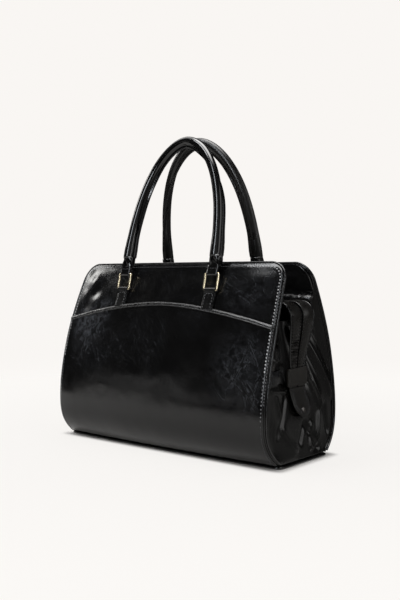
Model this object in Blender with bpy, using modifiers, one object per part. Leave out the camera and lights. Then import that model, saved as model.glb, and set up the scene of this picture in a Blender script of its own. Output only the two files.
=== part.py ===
# Structured tote bag with two rolled handles, a slip pocket and a recessed zip closure.
# Metres, +Z up, the front faces -Y. The origin is on the table under the middle of the bag.

import math

import bmesh
import bpy
from mathutils import Vector

# Walls. Heights named z run up from the foot seam, which stands FOOT_RISE above the table.
FOOT_RISE = 0.0040
WALL_HEIGHT = 0.2650
CORNER_RADIUS = 0.0230
HALF_LENGTH_WAIST = 0.1952
FOOT_FLARE = 0.0038
FOOT_FLARE_HEIGHT = 0.0500
TOP_TAPER = 0.0058
TOP_TAPER_START = 0.1550
HALF_DEPTH_FOOT = 0.0572
HALF_DEPTH_BELLY = 0.0872
HALF_DEPTH_TOP = 0.0288
BELLY_HEIGHT = 0.0620
BELLY_FULLNESS = 2.9
SHOULDER_FULLNESS = 1.65
BOW_FOOT = 0.0060
BOW_TOP = 0.0118
WALL_THICKNESS = 0.0024
FACING_THICKNESS = 0.0012
FACING_DEPTH = 0.0620
FACING_EDGE = 0.0037
LAYER_GAP = 0.0004
TOUCH_GAP = 0.0003

# Piped seams
PIPING_RADIUS = 0.0014
PIPING_SEAT = 0.8

# Front slip pocket, its top edge an arch
POCKET_BELOW_RINGS = 0.0220
POCKET_ARCH_RISE = 0.0280
POCKET_ARCH_POWER = 1.75
POCKET_THICKNESS = 0.0018
POCKET_EDGE = 0.0010
POCKET_FOOT = 0.0020
POCKET_FLAT_SHARE = 0.8
BINDING_RADIUS = 0.0016

# Base
BASE_THICKNESS = 0.0036
BASE_CORNER_RADIUS = 0.0060
BOARD_THICKNESS = 0.0020
BOARD_INSET = 0.0045

# Gussets, folded inward above the keeper
GUSSET_THICKNESS = 0.0016
GUSSET_INSET = 0.0005
FOLD_DEPTH = 0.0330
FOLD_START = 0.0360
FOLD_FULL = 0.2010
FOLD_ROUNDNESS = 1.6
GUSSET_BELOW_CLOSURE = 0.0250

# Lining
LINING_THICKNESS = 0.0008
LINING_SLACK = 0.0040
LINING_FLOOR_TURN = 0.0030

# Recessed zip closure
CLOSURE_DROP = 0.0540
FLANGE_THICKNESS = 0.0016
FLANGE_FROM_END = 0.0612
FLANGE_HINGE_Y = 0.0500
ZIP_SLOT_HALF = 0.0060
ZIP_LIMIT_FROM_ARCH = 0.0040
CHAIN_GAP_HALF = 0.0012
CHAIN_WIDTH = 0.0020
CHAIN_THICKNESS = 0.0020
TAPE_THICKNESS = 0.0008
TAPE_REACH = 0.0110
ZIP_STOP_LENGTH = 0.0030
ZIP_STOP_INSET = 0.0001

# Slider and pull
SLIDER_PAST_FLANGE = 0.0260
SLIDER_LENGTH = 0.0090
SLIDER_HALF_WIDTH = 0.0048
SLIDER_BLADE = 0.0012
SLIDER_LIP = 0.0011
SLIDER_CHAMFER = 0.0004
SLIDER_POST_START = -0.0030
SLIDER_POST_END = -0.0005
SLIDER_POST_HALF = 0.0008
BRIDGE_HALF_LENGTH = 0.0036
BRIDGE_HOLE_HALF_LENGTH = 0.0022
BRIDGE_HOLE_HEIGHT = 0.0024
BRIDGE_BEAM = 0.0011
BRIDGE_HALF_WIDTH = 0.0012
BRIDGE_CHAMFER = 0.0010
PULL_LENGTH = 0.0220
PULL_HALF_WIDTH = 0.0034
PULL_THICKNESS = 0.0014
PULL_SLOT_END = 0.0060

# Zip ends, which arch over the gussets and hang through the keepers
ZIP_END_THICKNESS = 0.0020
ARCH_STAND_OUT = 0.0008
ARCH_RADIUS = 0.0200
TAB_TIP_HEIGHT = 0.0615
TAB_HALF_WIDTH = 0.0190
TAB_STAND_OUT = 0.0045
ZIP_END_HALF_WIDTH_ARCH = 0.0300
ZIP_END_HALF_WIDTH_NECK = 0.0160
RIVET_HEIGHT = 0.0710
RIVET_RADIUS = 0.0040
RIVET_SHANK_RADIUS = 0.0012
RIVET_BACK_RADIUS = 0.0030
RIVET_HEAD = 0.0016
RIVET_CLENCH = 0.0006

# Keepers
KEEPER_HEIGHT = 0.1160
KEEPER_TALL = 0.0240
KEEPER_WALL = 0.0015
STRAP_TALL = 0.0190
STRAP_THICKNESS = 0.0014
STRAP_STAND_OFF = 0.0012
STRAP_END = 0.0010

# Handle rings and the loops that hold them
RING_SPREAD_FRONT = 0.0840
RING_SPREAD_BACK = 0.0880
RING_SIZE = 0.0260
RING_WIRE_RADIUS = 0.0015
RING_CORNER_RADIUS = 0.0024
RING_DROP = 0.0370
LOOP_WIDTH = 0.0190
LOOP_THICKNESS = 0.0014
EYE_GAP = 0.0004

# Handles
ARCH_HEIGHT = 0.2017
ARCH_POWER_X = 1.10
ARCH_POWER_UP = 0.762
APEX_OFFSET_FRONT = 0.0094
APEX_OFFSET_BACK = 0.0160
ROLL_RADIUS = 0.0065
ROLL_LEATHER = 0.0016
ROLL_FLANGE = 0.0036
ROLL_SLIT_HALF = 0.00025
ROLL_LIP = 0.00144
SEAM_REACH_LEFT = 1.0
SEAM_REACH_RIGHT = 0.72
HANDLE_END_LENGTH = 0.0260
HANDLE_END_FLAT = 0.0052
HANDLE_END_SQUARENESS = 5.0

# Facets
WALL_COLUMNS = 12
WALL_ROWS = 13
CORNER_STEPS = 4
ROLL_STATIONS = 23
ROLL_SIDES = 8

# Overrun of a cutting shape past what it cuts
CUTTER_MARGIN = 0.0040

FRONT = -1
BACK = 1
LEFT = -1
RIGHT = 1

TOP_HEIGHT = FOOT_RISE + WALL_HEIGHT
GUSSET_DIP = WALL_HEIGHT - CLOSURE_DROP - GUSSET_BELOW_CLOSURE
POCKET_HEIGHT_MIDDLE = WALL_HEIGHT - RING_DROP - POCKET_BELOW_RINGS
POCKET_HEIGHT_END = POCKET_HEIGHT_MIDDLE - POCKET_ARCH_RISE
FLANGE_HALF_SPAN = HALF_LENGTH_WAIST - FLANGE_FROM_END
SLIDER_REST_X = -FLANGE_HALF_SPAN - SLIDER_PAST_FLANGE
ARCH_OUTER_X = HALF_LENGTH_WAIST + ARCH_STAND_OUT
ZIP_END_LIMIT = ARCH_OUTER_X - ARCH_RADIUS - ZIP_LIMIT_FROM_ARCH
CLOSURE_HEIGHT = TOP_HEIGHT - CLOSURE_DROP
TAPE_HEIGHT = CLOSURE_HEIGHT - TOUCH_GAP - TAPE_THICKNESS / 2
RING_SPAN = RING_SIZE - 2 * RING_WIRE_RADIUS
EYE_RADIUS = RING_WIRE_RADIUS + EYE_GAP
FACING_LAYER = WALL_THICKNESS + LAYER_GAP
LINING_LAYER = FACING_LAYER + FACING_THICKNESS + LAYER_GAP
SIDE_NAMES = {FRONT: "front", BACK: "back"}
END_NAMES = {LEFT: "left", RIGHT: "right"}

# Turn of a handle's sewn edge at the foot of each leg, in degrees
SEAM_TURN = {(FRONT, LEFT): 50.0, (FRONT, RIGHT): 130.0, (BACK, LEFT): 95.0, (BACK, RIGHT): 45.0}
SEAM_REACH = {LEFT: SEAM_REACH_LEFT, RIGHT: SEAM_REACH_RIGHT}

BLACK_LEATHER = ("black_leather", (0.012, 0.012, 0.014, 1.0), 0.22, 0.0)
MATT_LEATHER = ("matt_leather", (0.030, 0.026, 0.022, 1.0), 0.50, 0.0)
LINING_CLOTH = ("lining_cloth", (0.020, 0.018, 0.018, 1.0), 0.85, 0.0)
ZIP_TAPE = ("zip_tape", (0.015, 0.013, 0.013, 1.0), 0.75, 0.0)
BOARD = ("base_board", (0.090, 0.080, 0.065, 1.0), 0.80, 0.0)
CORD = ("handle_cord", (0.350, 0.310, 0.240, 1.0), 0.90, 0.0)
PALE_GOLD = ("pale_gold", (0.780, 0.690, 0.520, 1.0), 0.22, 1.0)
DARK_METAL = ("dark_metal", (0.180, 0.170, 0.160, 1.0), 0.30, 1.0)


def clear_scene():
    for item in list(bpy.data.objects):
        bpy.data.objects.remove(item, do_unlink=True)


def new_collection(name):
    group = bpy.data.collections.new(name)
    bpy.context.scene.collection.children.link(group)
    return group


def add_object(name, data, finish, group, parent=None):
    """Link a named object to a collection, with a material of its own."""
    item = bpy.data.objects.new(name, data)
    group.objects.link(item)
    item.parent = parent
    if finish:
        label, colour, roughness, metallic = finish
        material = bpy.data.materials.new(f"{name}_{label}")
        material.use_nodes = True
        shader = material.node_tree.nodes["Principled BSDF"]
        shader.inputs["Base Color"].default_value = colour
        shader.inputs["Roughness"].default_value = roughness
        shader.inputs["Metallic"].default_value = metallic
        data.materials.append(material)
    return item


def add_axis(name, group, place, tilt=0.0, parent=None):
    axis = bpy.data.objects.new(name, None)
    group.objects.link(axis)
    axis.empty_display_size = 0.02
    axis.parent = parent
    axis.location = place
    axis.rotation_euler.x = tilt
    return axis


def finish_mesh(name, bm, finish, group, parent=None, smooth=True):
    mesh = bpy.data.meshes.new(name)
    bmesh.ops.recalc_face_normals(bm, faces=bm.faces)
    bm.to_mesh(mesh)
    bm.free()
    item = add_object(name, mesh, finish, group, parent)
    if smooth:
        mesh.shade_smooth()
        mesh.set_sharp_from_angle(angle=math.radians(35))
    return item


# Shape of the bag

def ease(share):
    share = min(max(share, 0.0), 1.0)
    return share * share * (3.0 - 2.0 * share)


def half_length(z):
    foot = max(0.0, 1.0 - z / FOOT_FLARE_HEIGHT) ** 2
    top = max(0.0, (z - TOP_TAPER_START) / (WALL_HEIGHT - TOP_TAPER_START)) ** 1.5
    return HALF_LENGTH_WAIST + FOOT_FLARE * foot - TOP_TAPER * top


def edge_half_length(z, grow=0.0):
    """Half the length of a wall's outline, which turns a round corner at the top."""
    radius = CORNER_RADIUS + grow
    rise = z - (WALL_HEIGHT - CORNER_RADIUS)
    half = half_length(z) + grow
    if rise > 0.0:
        half -= radius - math.sqrt(max(radius * radius - rise * rise, 0.0))
    return half


def half_depth(z):
    """Half the depth of the bag at a wall's end: a full belly that draws in to foot and top."""
    if z < BELLY_HEIGHT:
        rise = 1.0 - (1.0 - z / BELLY_HEIGHT) ** BELLY_FULLNESS
        return HALF_DEPTH_FOOT + (HALF_DEPTH_BELLY - HALF_DEPTH_FOOT) * rise
    fall = ((z - BELLY_HEIGHT) / (WALL_HEIGHT - BELLY_HEIGHT)) ** SHOULDER_FULLNESS
    return HALF_DEPTH_BELLY - (HALF_DEPTH_BELLY - HALF_DEPTH_TOP) * fall


def wall_depth(x, z):
    bow = BOW_FOOT + (BOW_TOP - BOW_FOOT) * z / WALL_HEIGHT
    return half_depth(z) + bow * (1.0 - (x / half_length(z)) ** 2)


def skin(x, z, side, depth=0.0):
    """A point on a wall's outer face, moved inward by depth along the face's normal."""
    step = 0.0005
    slope_x = (wall_depth(x + step, z) - wall_depth(x - step, z)) / (2 * step)
    slope_z = (wall_depth(x, z + step) - wall_depth(x, z - step)) / (2 * step)
    inward = Vector((slope_x, -1.0, slope_z)).normalized()
    point = Vector((x, wall_depth(x, z), FOOT_RISE + z)) + inward * depth
    point.y *= side
    return point


def depth_at(x, height, depth):
    """Distance from the middle plane to the layer at this depth, at a height over the table."""
    z = height - FOOT_RISE
    for _ in range(8):
        z += height - skin(x, z, BACK, depth).z
    return skin(x, z, BACK, depth).y


def fold(v, z):
    """How far a gusset folds inward, v running from -1 to 1 across it."""
    grown = ease((z - FOLD_START) / (FOLD_FULL - FOLD_START))
    return FOLD_DEPTH * grown * math.cos(v * math.pi / 2) ** FOLD_ROUNDNESS


def gusset_x(v, height):
    z = height - FOOT_RISE
    return half_length(z) - GUSSET_INSET - fold(v, z)


def gusset_top(v):
    """Height over the table of a gusset's upper edge, which dips in the middle."""
    return FOOT_RISE + GUSSET_DIP + (WALL_HEIGHT - CORNER_RADIUS - GUSSET_DIP) * v * v


def pocket_height(x):
    drop = POCKET_ARCH_RISE * abs(x / HALF_LENGTH_WAIST) ** POCKET_ARCH_POWER
    return POCKET_HEIGHT_MIDDLE - drop


def corner_heights():
    start = WALL_HEIGHT - CORNER_RADIUS
    angles = [math.radians(90.0 * step / CORNER_STEPS) for step in range(1, CORNER_STEPS + 1)]
    return [start + CORNER_RADIUS * math.sin(angle) for angle in angles]


def wall_heights():
    start = WALL_HEIGHT - CORNER_RADIUS
    rows = [start * (row / WALL_ROWS) ** 1.8 for row in range(WALL_ROWS + 1)]
    return rows + corner_heights()


# Shape makers

def sheet(name, columns, rows, place, thickness, finish, group, parent=None, offset=-1.0):
    """A grid laid on place(share, row), share from -1 to 1, and given a thickness."""
    bm = bmesh.new()
    bmesh.ops.create_grid(bm, x_segments=columns, y_segments=rows, size=0.5)
    for vert in bm.verts:
        column = round((vert.co.x + 0.5) * columns)
        row = round((vert.co.y + 0.5) * rows)
        vert.co = place(2.0 * column / columns - 1.0, row)
    mesh = bpy.data.meshes.new(name)
    bm.to_mesh(mesh)
    bm.free()
    mesh.shade_smooth()
    item = add_object(name, mesh, finish, group, parent)
    thicken = item.modifiers.new("thickness", "SOLIDIFY")
    thicken.thickness = thickness
    thicken.offset = offset
    thicken.use_even_offset = True
    return item


def tube(name, points, radius, resolution, finish, group, parent=None, closed=False):
    curve = bpy.data.curves.new(name, "CURVE")
    curve.dimensions = "3D"
    curve.bevel_depth = radius
    curve.bevel_resolution = resolution
    curve.use_fill_caps = True
    line = curve.splines.new("POLY")
    line.points.add(len(points) - 1)
    for index, point in enumerate(points):
        line.points[index].co = (*point, 1.0)
    line.use_cyclic_u = closed
    return add_object(name, curve, finish, group, parent)


def plate(name, outline, thickness, finish, group, parent=None, holes=()):
    """A flat closed outline in local X and Y, thick evenly about its own plane."""
    curve = bpy.data.curves.new(name, "CURVE")
    curve.dimensions = "2D"
    curve.fill_mode = "BOTH"
    curve.extrude = thickness / 2
    for loop in (outline, *holes):
        line = curve.splines.new("POLY")
        line.points.add(len(loop) - 1)
        for index, point in enumerate(loop):
            line.points[index].co = (point[0], point[1], 0.0, 1.0)
        line.use_cyclic_u = True
    return add_object(name, curve, finish, group, parent)


def as_mesh(item):
    """Turn a curve object into a welded mesh object of the same name and place."""
    bpy.context.view_layer.update()
    graph = bpy.context.evaluated_depsgraph_get()
    mesh = bpy.data.meshes.new_from_object(item.evaluated_get(graph))
    bm = bmesh.new()
    bm.from_mesh(mesh)
    bmesh.ops.remove_doubles(bm, verts=bm.verts, dist=0.000001)
    bmesh.ops.recalc_face_normals(bm, faces=bm.faces)
    bm.to_mesh(mesh)
    bm.free()
    name = item.name
    group = item.users_collection[0]
    matrix = item.matrix_world.copy()
    parent = item.parent
    bpy.data.objects.remove(item, do_unlink=True)
    made = bpy.data.objects.new(name, mesh)
    group.objects.link(made)
    made.parent = parent
    made.matrix_world = matrix
    return made


def loft(name, sections, finish, group, parent=None):
    """A closed solid through sections that have the same number of points."""
    bm = bmesh.new()
    rings = [[bm.verts.new(point) for point in section] for section in sections]
    count = len(rings[0])
    for lower, upper in zip(rings, rings[1:]):
        for index in range(count):
            following = (index + 1) % count
            bm.faces.new((lower[index], lower[following], upper[following], upper[index]))
    bm.faces.new(rings[0])
    bm.faces.new(rings[-1])
    return finish_mesh(name, bm, finish, group, parent)


def block(name, low, high, group, finish=None, parent=None):
    bm = bmesh.new()
    bmesh.ops.create_cube(bm, size=1.0)
    low = Vector(low)
    size = Vector(high) - low
    for vert in bm.verts:
        vert.co = low + Vector(((vert.co[axis] + 0.5) * size[axis] for axis in range(3)))
    return finish_mesh(name, bm, finish, group, parent, smooth=False)


def rod(name, centre, axis, radius, length, sides, group, finish=None, parent=None):
    """A cylinder about a point, its length along the X, Y or Z axis."""
    bm = bmesh.new()
    bmesh.ops.create_cone(bm, cap_ends=True, segments=sides, radius1=radius, radius2=radius, depth=length)
    turn = Vector((0.0, 0.0, 1.0)).rotation_difference(Vector(axis)).to_matrix()
    bmesh.ops.rotate(bm, verts=bm.verts, matrix=turn)
    bmesh.ops.translate(bm, verts=bm.verts, vec=centre)
    return finish_mesh(name, bm, finish, group, parent)


def combine(item, other, operation):
    """Cut a hidden helper from an object, or join it on."""
    other.hide_render = True
    other.display_type = "WIRE"
    change = item.modifiers.new(other.name, "BOOLEAN")
    change.operation = operation
    change.solver = "EXACT"
    change.object = other


# Walls, base and lining

def make_wall(side, parts):
    heights = wall_heights()

    def place(share, row):
        z = heights[row]
        return skin(-side * share * edge_half_length(z), z, side)

    name = f"{SIDE_NAMES[side]}_panel"
    sheet(name, WALL_COLUMNS, len(heights) - 1, place, WALL_THICKNESS, BLACK_LEATHER, parts)


def make_facing(side, parts):
    """Strip sewn inside a wall's top, down past the closure."""
    low = WALL_HEIGHT - FACING_DEPTH
    start = WALL_HEIGHT - CORNER_RADIUS
    heights = [low, (low + start) / 2, start] + corner_heights()

    def place(share, row):
        z = heights[row]
        return skin(-side * share * (edge_half_length(z) - FACING_EDGE), z, side, FACING_LAYER)

    name = f"{SIDE_NAMES[side]}_facing"
    sheet(name, WALL_COLUMNS, len(heights) - 1, place, FACING_THICKNESS, BLACK_LEATHER, parts)


def binding_point(x):
    """Middle of the roll that binds the pocket's top edge."""
    z = pocket_height(x) + TOUCH_GAP + BINDING_RADIUS
    return skin(x, z, FRONT, -TOUCH_GAP - BINDING_RADIUS)


def make_pocket(parts):
    flat_top = POCKET_FLAT_SHARE * POCKET_HEIGHT_END
    shared = [POCKET_FOOT] + [z for z in wall_heights() if 2 * POCKET_FOOT < z < flat_top]
    upper_rows = 3
    half_top = half_length(POCKET_HEIGHT_END) - POCKET_EDGE

    def place(share, row):
        if row < len(shared):
            z = shared[row]
        else:
            top = pocket_height(share * half_top)
            z = shared[-1] + (top - shared[-1]) * (row - len(shared) + 1) / upper_rows
        return skin(share * (half_length(z) - POCKET_EDGE), z, FRONT, -LAYER_GAP)

    rows = len(shared) - 1 + upper_rows
    name = "front_pocket_panel"
    sheet(name, WALL_COLUMNS, rows, place, POCKET_THICKNESS, BLACK_LEATHER, parts, offset=1.0)
    points = []
    steps = WALL_COLUMNS + 6
    for step in range(steps + 1):
        share = 2.0 * step / steps - 1.0
        points.append(binding_point(share * (half_top - BINDING_RADIUS)))
    tube("pocket_binding", points, BINDING_RADIUS, 2, BLACK_LEATHER, parts)


def make_edge_piping(side, parts):
    """Piping that climbs one end of a wall, runs along its top and comes down the other end."""
    grow = TOUCH_GAP + PIPING_RADIUS
    depth = WALL_THICKNESS * PIPING_SEAT
    lowest = PIPING_RADIUS + TOUCH_GAP
    start = WALL_HEIGHT - CORNER_RADIUS
    outline = []
    for row in range(WALL_ROWS + 1):
        z = lowest + (start - lowest) * (row / WALL_ROWS) ** 1.7
        outline.append((edge_half_length(z, grow), z))
    for step in range(1, CORNER_STEPS + 1):
        angle = math.radians(90.0 * step / CORNER_STEPS)
        z = start + (CORNER_RADIUS + grow) * math.sin(angle)
        outline.append((edge_half_length(z, grow), z))
    top_x, top_z = outline[-1]
    across = 12
    right = [(top_x * (1.0 - 2.0 * step / across), top_z) for step in range(1, across)]
    left = [(-x, z) for x, z in reversed(outline)]
    points = [skin(x, z, side, depth) for x, z in outline + right + left]
    tube(f"{SIDE_NAMES[side]}_edge_piping", points, PIPING_RADIUS, 1, BLACK_LEATHER, parts)


def base_outline(inset):
    """The foot's outline, drawn in by inset: bowed long sides, straight ends, round corners."""
    radius = BASE_CORNER_RADIUS - min(inset, 0.0)
    half = half_length(0.0) - inset
    straight = half - radius
    xs = [straight * step / 7 for step in range(-7, 8)]
    turns = [math.radians(angle) for angle in (30.0, 60.0, 90.0)]
    ends = [straight + radius * math.sin(turn) for turn in turns]
    xs = [-x for x in reversed(ends)] + xs + ends
    front = []
    for x in xs:
        past = max(abs(x) - straight, 0.0)
        pulled_in = radius - math.sqrt(max(radius * radius - past * past, 0.0))
        front.append((x, -(wall_depth(x, 0.0) - inset - pulled_in)))
    back = [(x, -y) for x, y in reversed(front)]
    return front + back


def make_base(parts):
    base = plate("base_panel", base_outline(TOUCH_GAP), BASE_THICKNESS, BLACK_LEATHER, parts)
    base.location.z = BASE_THICKNESS / 2
    board = plate("base_board", base_outline(BOARD_INSET), BOARD_THICKNESS, BOARD, parts)
    board.location.z = BASE_THICKNESS + TOUCH_GAP + BOARD_THICKNESS / 2
    grow = TOUCH_GAP + PIPING_RADIUS
    height = LAYER_GAP + PIPING_RADIUS
    points = [(x, y, height) for x, y in base_outline(TOUCH_GAP - grow)]
    tube("base_piping", points, PIPING_RADIUS, 1, BLACK_LEATHER, parts, closed=True)


def make_gusset(end, parts):
    """End panel, bell-shaped from the side, whose upper middle folds into the bag."""
    foot = FOOT_RISE + LAYER_GAP

    def place(share, row):
        height = foot + (gusset_top(share) - foot) * (row / WALL_ROWS) ** 1.8
        half = depth_at(edge_half_length(height - FOOT_RISE), height, FACING_LAYER + GUSSET_THICKNESS / 2)
        return (end * gusset_x(share, height), end * share * half, height)

    sheet(f"{END_NAMES[end]}_gusset", 8, WALL_ROWS, place, GUSSET_THICKNESS, BLACK_LEATHER, parts)


def make_lining(parts):
    """Cloth bag that hangs from the facings, inside the walls and gussets, open at the top."""
    side_steps = 10
    end_steps = 6
    rows = 6
    floor = BASE_THICKNESS + TOUCH_GAP + BOARD_THICKNESS + LAYER_GAP
    lowest = floor + LINING_FLOOR_TURN
    rim = TOP_HEIGHT - FACING_DEPTH - 2 * LAYER_GAP
    end_depth = GUSSET_THICKNESS + LINING_SLACK

    def ring(share, draw_in=0.0):
        points = []
        height = lowest + (rim - lowest) * share
        half_x = gusset_x(1.0, height) - end_depth - draw_in
        for side in (FRONT, BACK):
            for step in range(side_steps):
                x = -side * half_x * (2.0 * step / side_steps - 1.0)
                y = side * (depth_at(x, height, LINING_LAYER) - draw_in)
                points.append((x, y, height))
            for step in range(end_steps):
                v = 2.0 * step / end_steps - 1.0
                top = min(rim, gusset_top(v) - LINING_SLACK)
                level = lowest + (top - lowest) * share
                half_y = depth_at(half_x, level, LINING_LAYER) - draw_in
                x = gusset_x(v, level) - end_depth - draw_in
                points.append((-side * x, -side * v * half_y, level))
        return points

    floor_ring = [(x, y, floor) for x, y, _ in ring(0.0, LINING_FLOOR_TURN)]
    sections = [floor_ring] + [ring((row / rows) ** 1.3) for row in range(rows + 1)]
    bm = bmesh.new()
    rings = [[bm.verts.new(point) for point in section] for section in sections]
    count = len(rings[0])
    for lower, upper in zip(rings, rings[1:]):
        for index in range(count):
            following = (index + 1) % count
            bm.faces.new((lower[index], lower[following], upper[following], upper[index]))
    bm.faces.new(list(reversed(rings[0])))
    mesh = bpy.data.meshes.new("lining")
    bm.to_mesh(mesh)
    bm.free()
    item = add_object("lining", mesh, LINING_CLOTH, parts)
    thicken = item.modifiers.new("thickness", "SOLIDIFY")
    thicken.thickness = LINING_THICKNESS
    thicken.offset = -1.0
    thicken.use_even_offset = True


# Zip closure

def closure_edge(x, thickness):
    """Where a strip of this thickness, lying at the closure's height, meets the facing."""
    return depth_at(x, CLOSURE_HEIGHT + thickness, LINING_LAYER)


def make_flange(side, parts):
    """Leather strip and zip tape of one side, which swing up about the strip's sewn edge."""
    axis_place = (0.0, side * FLANGE_HINGE_Y, CLOSURE_HEIGHT + FLANGE_THICKNESS / 2)
    axis = add_axis(f"{SIDE_NAMES[side]}_flap_axis", parts, axis_place)
    origin = Vector(axis_place)
    rows = 3

    def place(share, row):
        x = share * FLANGE_HALF_SPAN
        outer = closure_edge(x, FLANGE_THICKNESS)
        y = outer + (ZIP_SLOT_HALF - outer) * row / rows
        return Vector((x * -side, side * y, CLOSURE_HEIGHT)) - origin

    name = f"{SIDE_NAMES[side]}_zip_flange"
    sheet(name, 10, rows, place, FLANGE_THICKNESS, BLACK_LEATHER, parts, axis, offset=1.0)
    tape = make_tape(f"{SIDE_NAMES[side]}_zip_tape", 0.0, 2 * FLANGE_HALF_SPAN, side, ZIP_TAPE, parts)
    tape.parent = axis
    tape.location = Vector((0.0, 0.0, TAPE_HEIGHT)) - origin


def make_tape(name, middle_x, length, side, finish, group):
    """Half of the zip: a flat tape with its row of teeth as a raised edge."""
    inner = CHAIN_GAP_HALF
    teeth = CHAIN_GAP_HALF + CHAIN_WIDTH
    half_tape = TAPE_THICKNESS / 2
    half_chain = CHAIN_THICKNESS / 2
    lower = [(inner, -half_chain), (teeth, -half_chain), (teeth, -half_tape), (TAPE_REACH, -half_tape)]
    upper = [(y, -z) for y, z in reversed(lower)]
    outline = [(side * y, z) for y, z in lower + upper]
    item = plate(name, outline, length, finish, group)
    item.rotation_euler = (math.pi / 2, 0.0, math.pi / 2)
    item.location = (middle_x, 0.0, TAPE_HEIGHT)
    return item


def make_zip_end_tape(end, parts, cutters):
    """Fixed end of the zip: both tapes and the stop that joins them."""
    name = f"{END_NAMES[end]}_zip_end_tape"
    near = FLANGE_HALF_SPAN + TOUCH_GAP
    length = ZIP_END_LIMIT - near
    middle = end * (near + length / 2)
    item = as_mesh(make_tape(name, middle, length, FRONT, ZIP_TAPE, parts))
    other = as_mesh(make_tape(f"{name}_half", middle, length, BACK, None, cutters))
    combine(item, other, "UNION")
    half = CHAIN_GAP_HALF + CHAIN_WIDTH / 2
    rise = CHAIN_THICKNESS / 2 - ZIP_STOP_INSET
    xs = sorted((end * (ZIP_END_LIMIT - ZIP_STOP_LENGTH), end * (ZIP_END_LIMIT - ZIP_STOP_INSET)))
    low = (xs[0], -half, TAPE_HEIGHT - rise)
    high = (xs[1], half, TAPE_HEIGHT + rise)
    combine(item, block(f"{name}_stop", low, high, cutters), "UNION")


def zip_end_path():
    """Middle line of a zip end from the recess over the arch to the tab's tip, as (x, height)."""
    level = CLOSURE_HEIGHT + ZIP_END_THICKNESS / 2
    start = FLANGE_HALF_SPAN + TOUCH_GAP
    turn = ARCH_OUTER_X - ARCH_RADIUS
    points = [(start + (turn - start) * step / 4, level) for step in range(5)]
    for angle in (22.5, 45.0, 67.5, 90.0):
        a = math.radians(angle)
        points.append((turn + ARCH_RADIUS * math.sin(a), level - ARCH_RADIUS * (1.0 - math.cos(a))))
    arch_foot = level - ARCH_RADIUS
    keeper_x = keeper_middle_x()
    keeper_top = KEEPER_HEIGHT + KEEPER_TALL / 2
    keeper_foot = KEEPER_HEIGHT - KEEPER_TALL / 2
    for share in (0.35, 0.7, 1.0):
        height = arch_foot + (keeper_top - arch_foot) * share
        points.append((ARCH_OUTER_X + (keeper_x - ARCH_OUTER_X) * ease(share), height))
    leave = keeper_foot - ZIP_END_THICKNESS
    points += [(keeper_x, keeper_foot), (keeper_x, leave)]
    tip_x = half_length(TAB_TIP_HEIGHT - FOOT_RISE) + TAB_STAND_OUT
    tab_length = leave - TAB_TIP_HEIGHT
    round_start = 1.0 - TAB_HALF_WIDTH / tab_length
    shares = [round_start * 0.5, round_start]
    shares += [round_start + (1.0 - round_start) * math.sin(math.radians(a)) for a in (30.0, 55.0, 75.0)]
    for share in shares:
        height = leave - tab_length * share
        points.append((keeper_x + (tip_x - keeper_x) * ease(share * 0.8) / ease(0.8), height))
    return points


def keeper_middle_x():
    """The keeper lies on the gusset, and the zip end runs through its middle."""
    behind = LAYER_GAP + KEEPER_WALL + LAYER_GAP + ZIP_END_THICKNESS / 2
    nearest = max(gusset_x(0.45, KEEPER_HEIGHT - KEEPER_TALL / 2), gusset_x(0.0, KEEPER_HEIGHT))
    return nearest + behind


def zip_end_half_width(x, height):
    """Half width of a zip end: widest in the recess, narrow above the keeper, wider at the tab."""
    level = CLOSURE_HEIGHT + ZIP_END_THICKNESS / 2
    start = FLANGE_HALF_SPAN + TOUCH_GAP
    turn = ARCH_OUTER_X - ARCH_RADIUS
    keeper_top = KEEPER_HEIGHT + KEEPER_TALL / 2
    keeper_foot = KEEPER_HEIGHT - KEEPER_TALL / 2
    if height > level - 1e-6:
        share = (x - start) / (turn - start)
        widest = closure_edge(start, ZIP_END_THICKNESS)
        return widest + (ZIP_END_HALF_WIDTH_ARCH - widest) * ease(share)
    if height > keeper_top:
        share = (level - height) / (level - keeper_top)
        return ZIP_END_HALF_WIDTH_ARCH + (ZIP_END_HALF_WIDTH_NECK - ZIP_END_HALF_WIDTH_ARCH) * share
    if height > keeper_foot:
        share = (keeper_top - height) / KEEPER_TALL
        return ZIP_END_HALF_WIDTH_NECK + (TAB_HALF_WIDTH - ZIP_END_HALF_WIDTH_NECK) * share
    past = max(TAB_TIP_HEIGHT + TAB_HALF_WIDTH - height, 0.0)
    return math.sqrt(max(TAB_HALF_WIDTH ** 2 - past ** 2, 0.0))


def make_zip_end(end, parts, cutters):
    """End of the closure: it arches over the folded gusset and hangs down through the keeper."""
    path = zip_end_path()

    def place(share, row):
        x, height = path[len(path) - 1 - row]
        return (end * x, end * share * zip_end_half_width(x, height), height)

    name = f"{END_NAMES[end]}_zip_end"
    item = sheet(name, 6, len(path) - 1, place, ZIP_END_THICKNESS, BLACK_LEATHER, parts, offset=0.0)
    near = FLANGE_HALF_SPAN - CUTTER_MARGIN
    far = ZIP_END_LIMIT + LAYER_GAP
    xs = sorted((end * near, end * far))
    low = (xs[0], -ZIP_SLOT_HALF, CLOSURE_HEIGHT - CUTTER_MARGIN)
    high = (xs[1], ZIP_SLOT_HALF, CLOSURE_HEIGHT + ZIP_END_THICKNESS + CUTTER_MARGIN)
    combine(item, block(f"{name}_slot", low, high, cutters), "DIFFERENCE")
    x, tilt = tab_at_rivet()
    radius = RIVET_SHANK_RADIUS + TOUCH_GAP
    length = ZIP_END_THICKNESS + 2 * CUTTER_MARGIN
    hole = rod(f"{name}_rivet_hole", (0.0, 0.0, 0.0), (1.0, 0.0, 0.0), radius, length, 10, cutters)
    hole.location = (end * x, 0.0, RIVET_HEIGHT)
    hole.rotation_euler.y = -end * tilt
    combine(item, hole, "DIFFERENCE")


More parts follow.
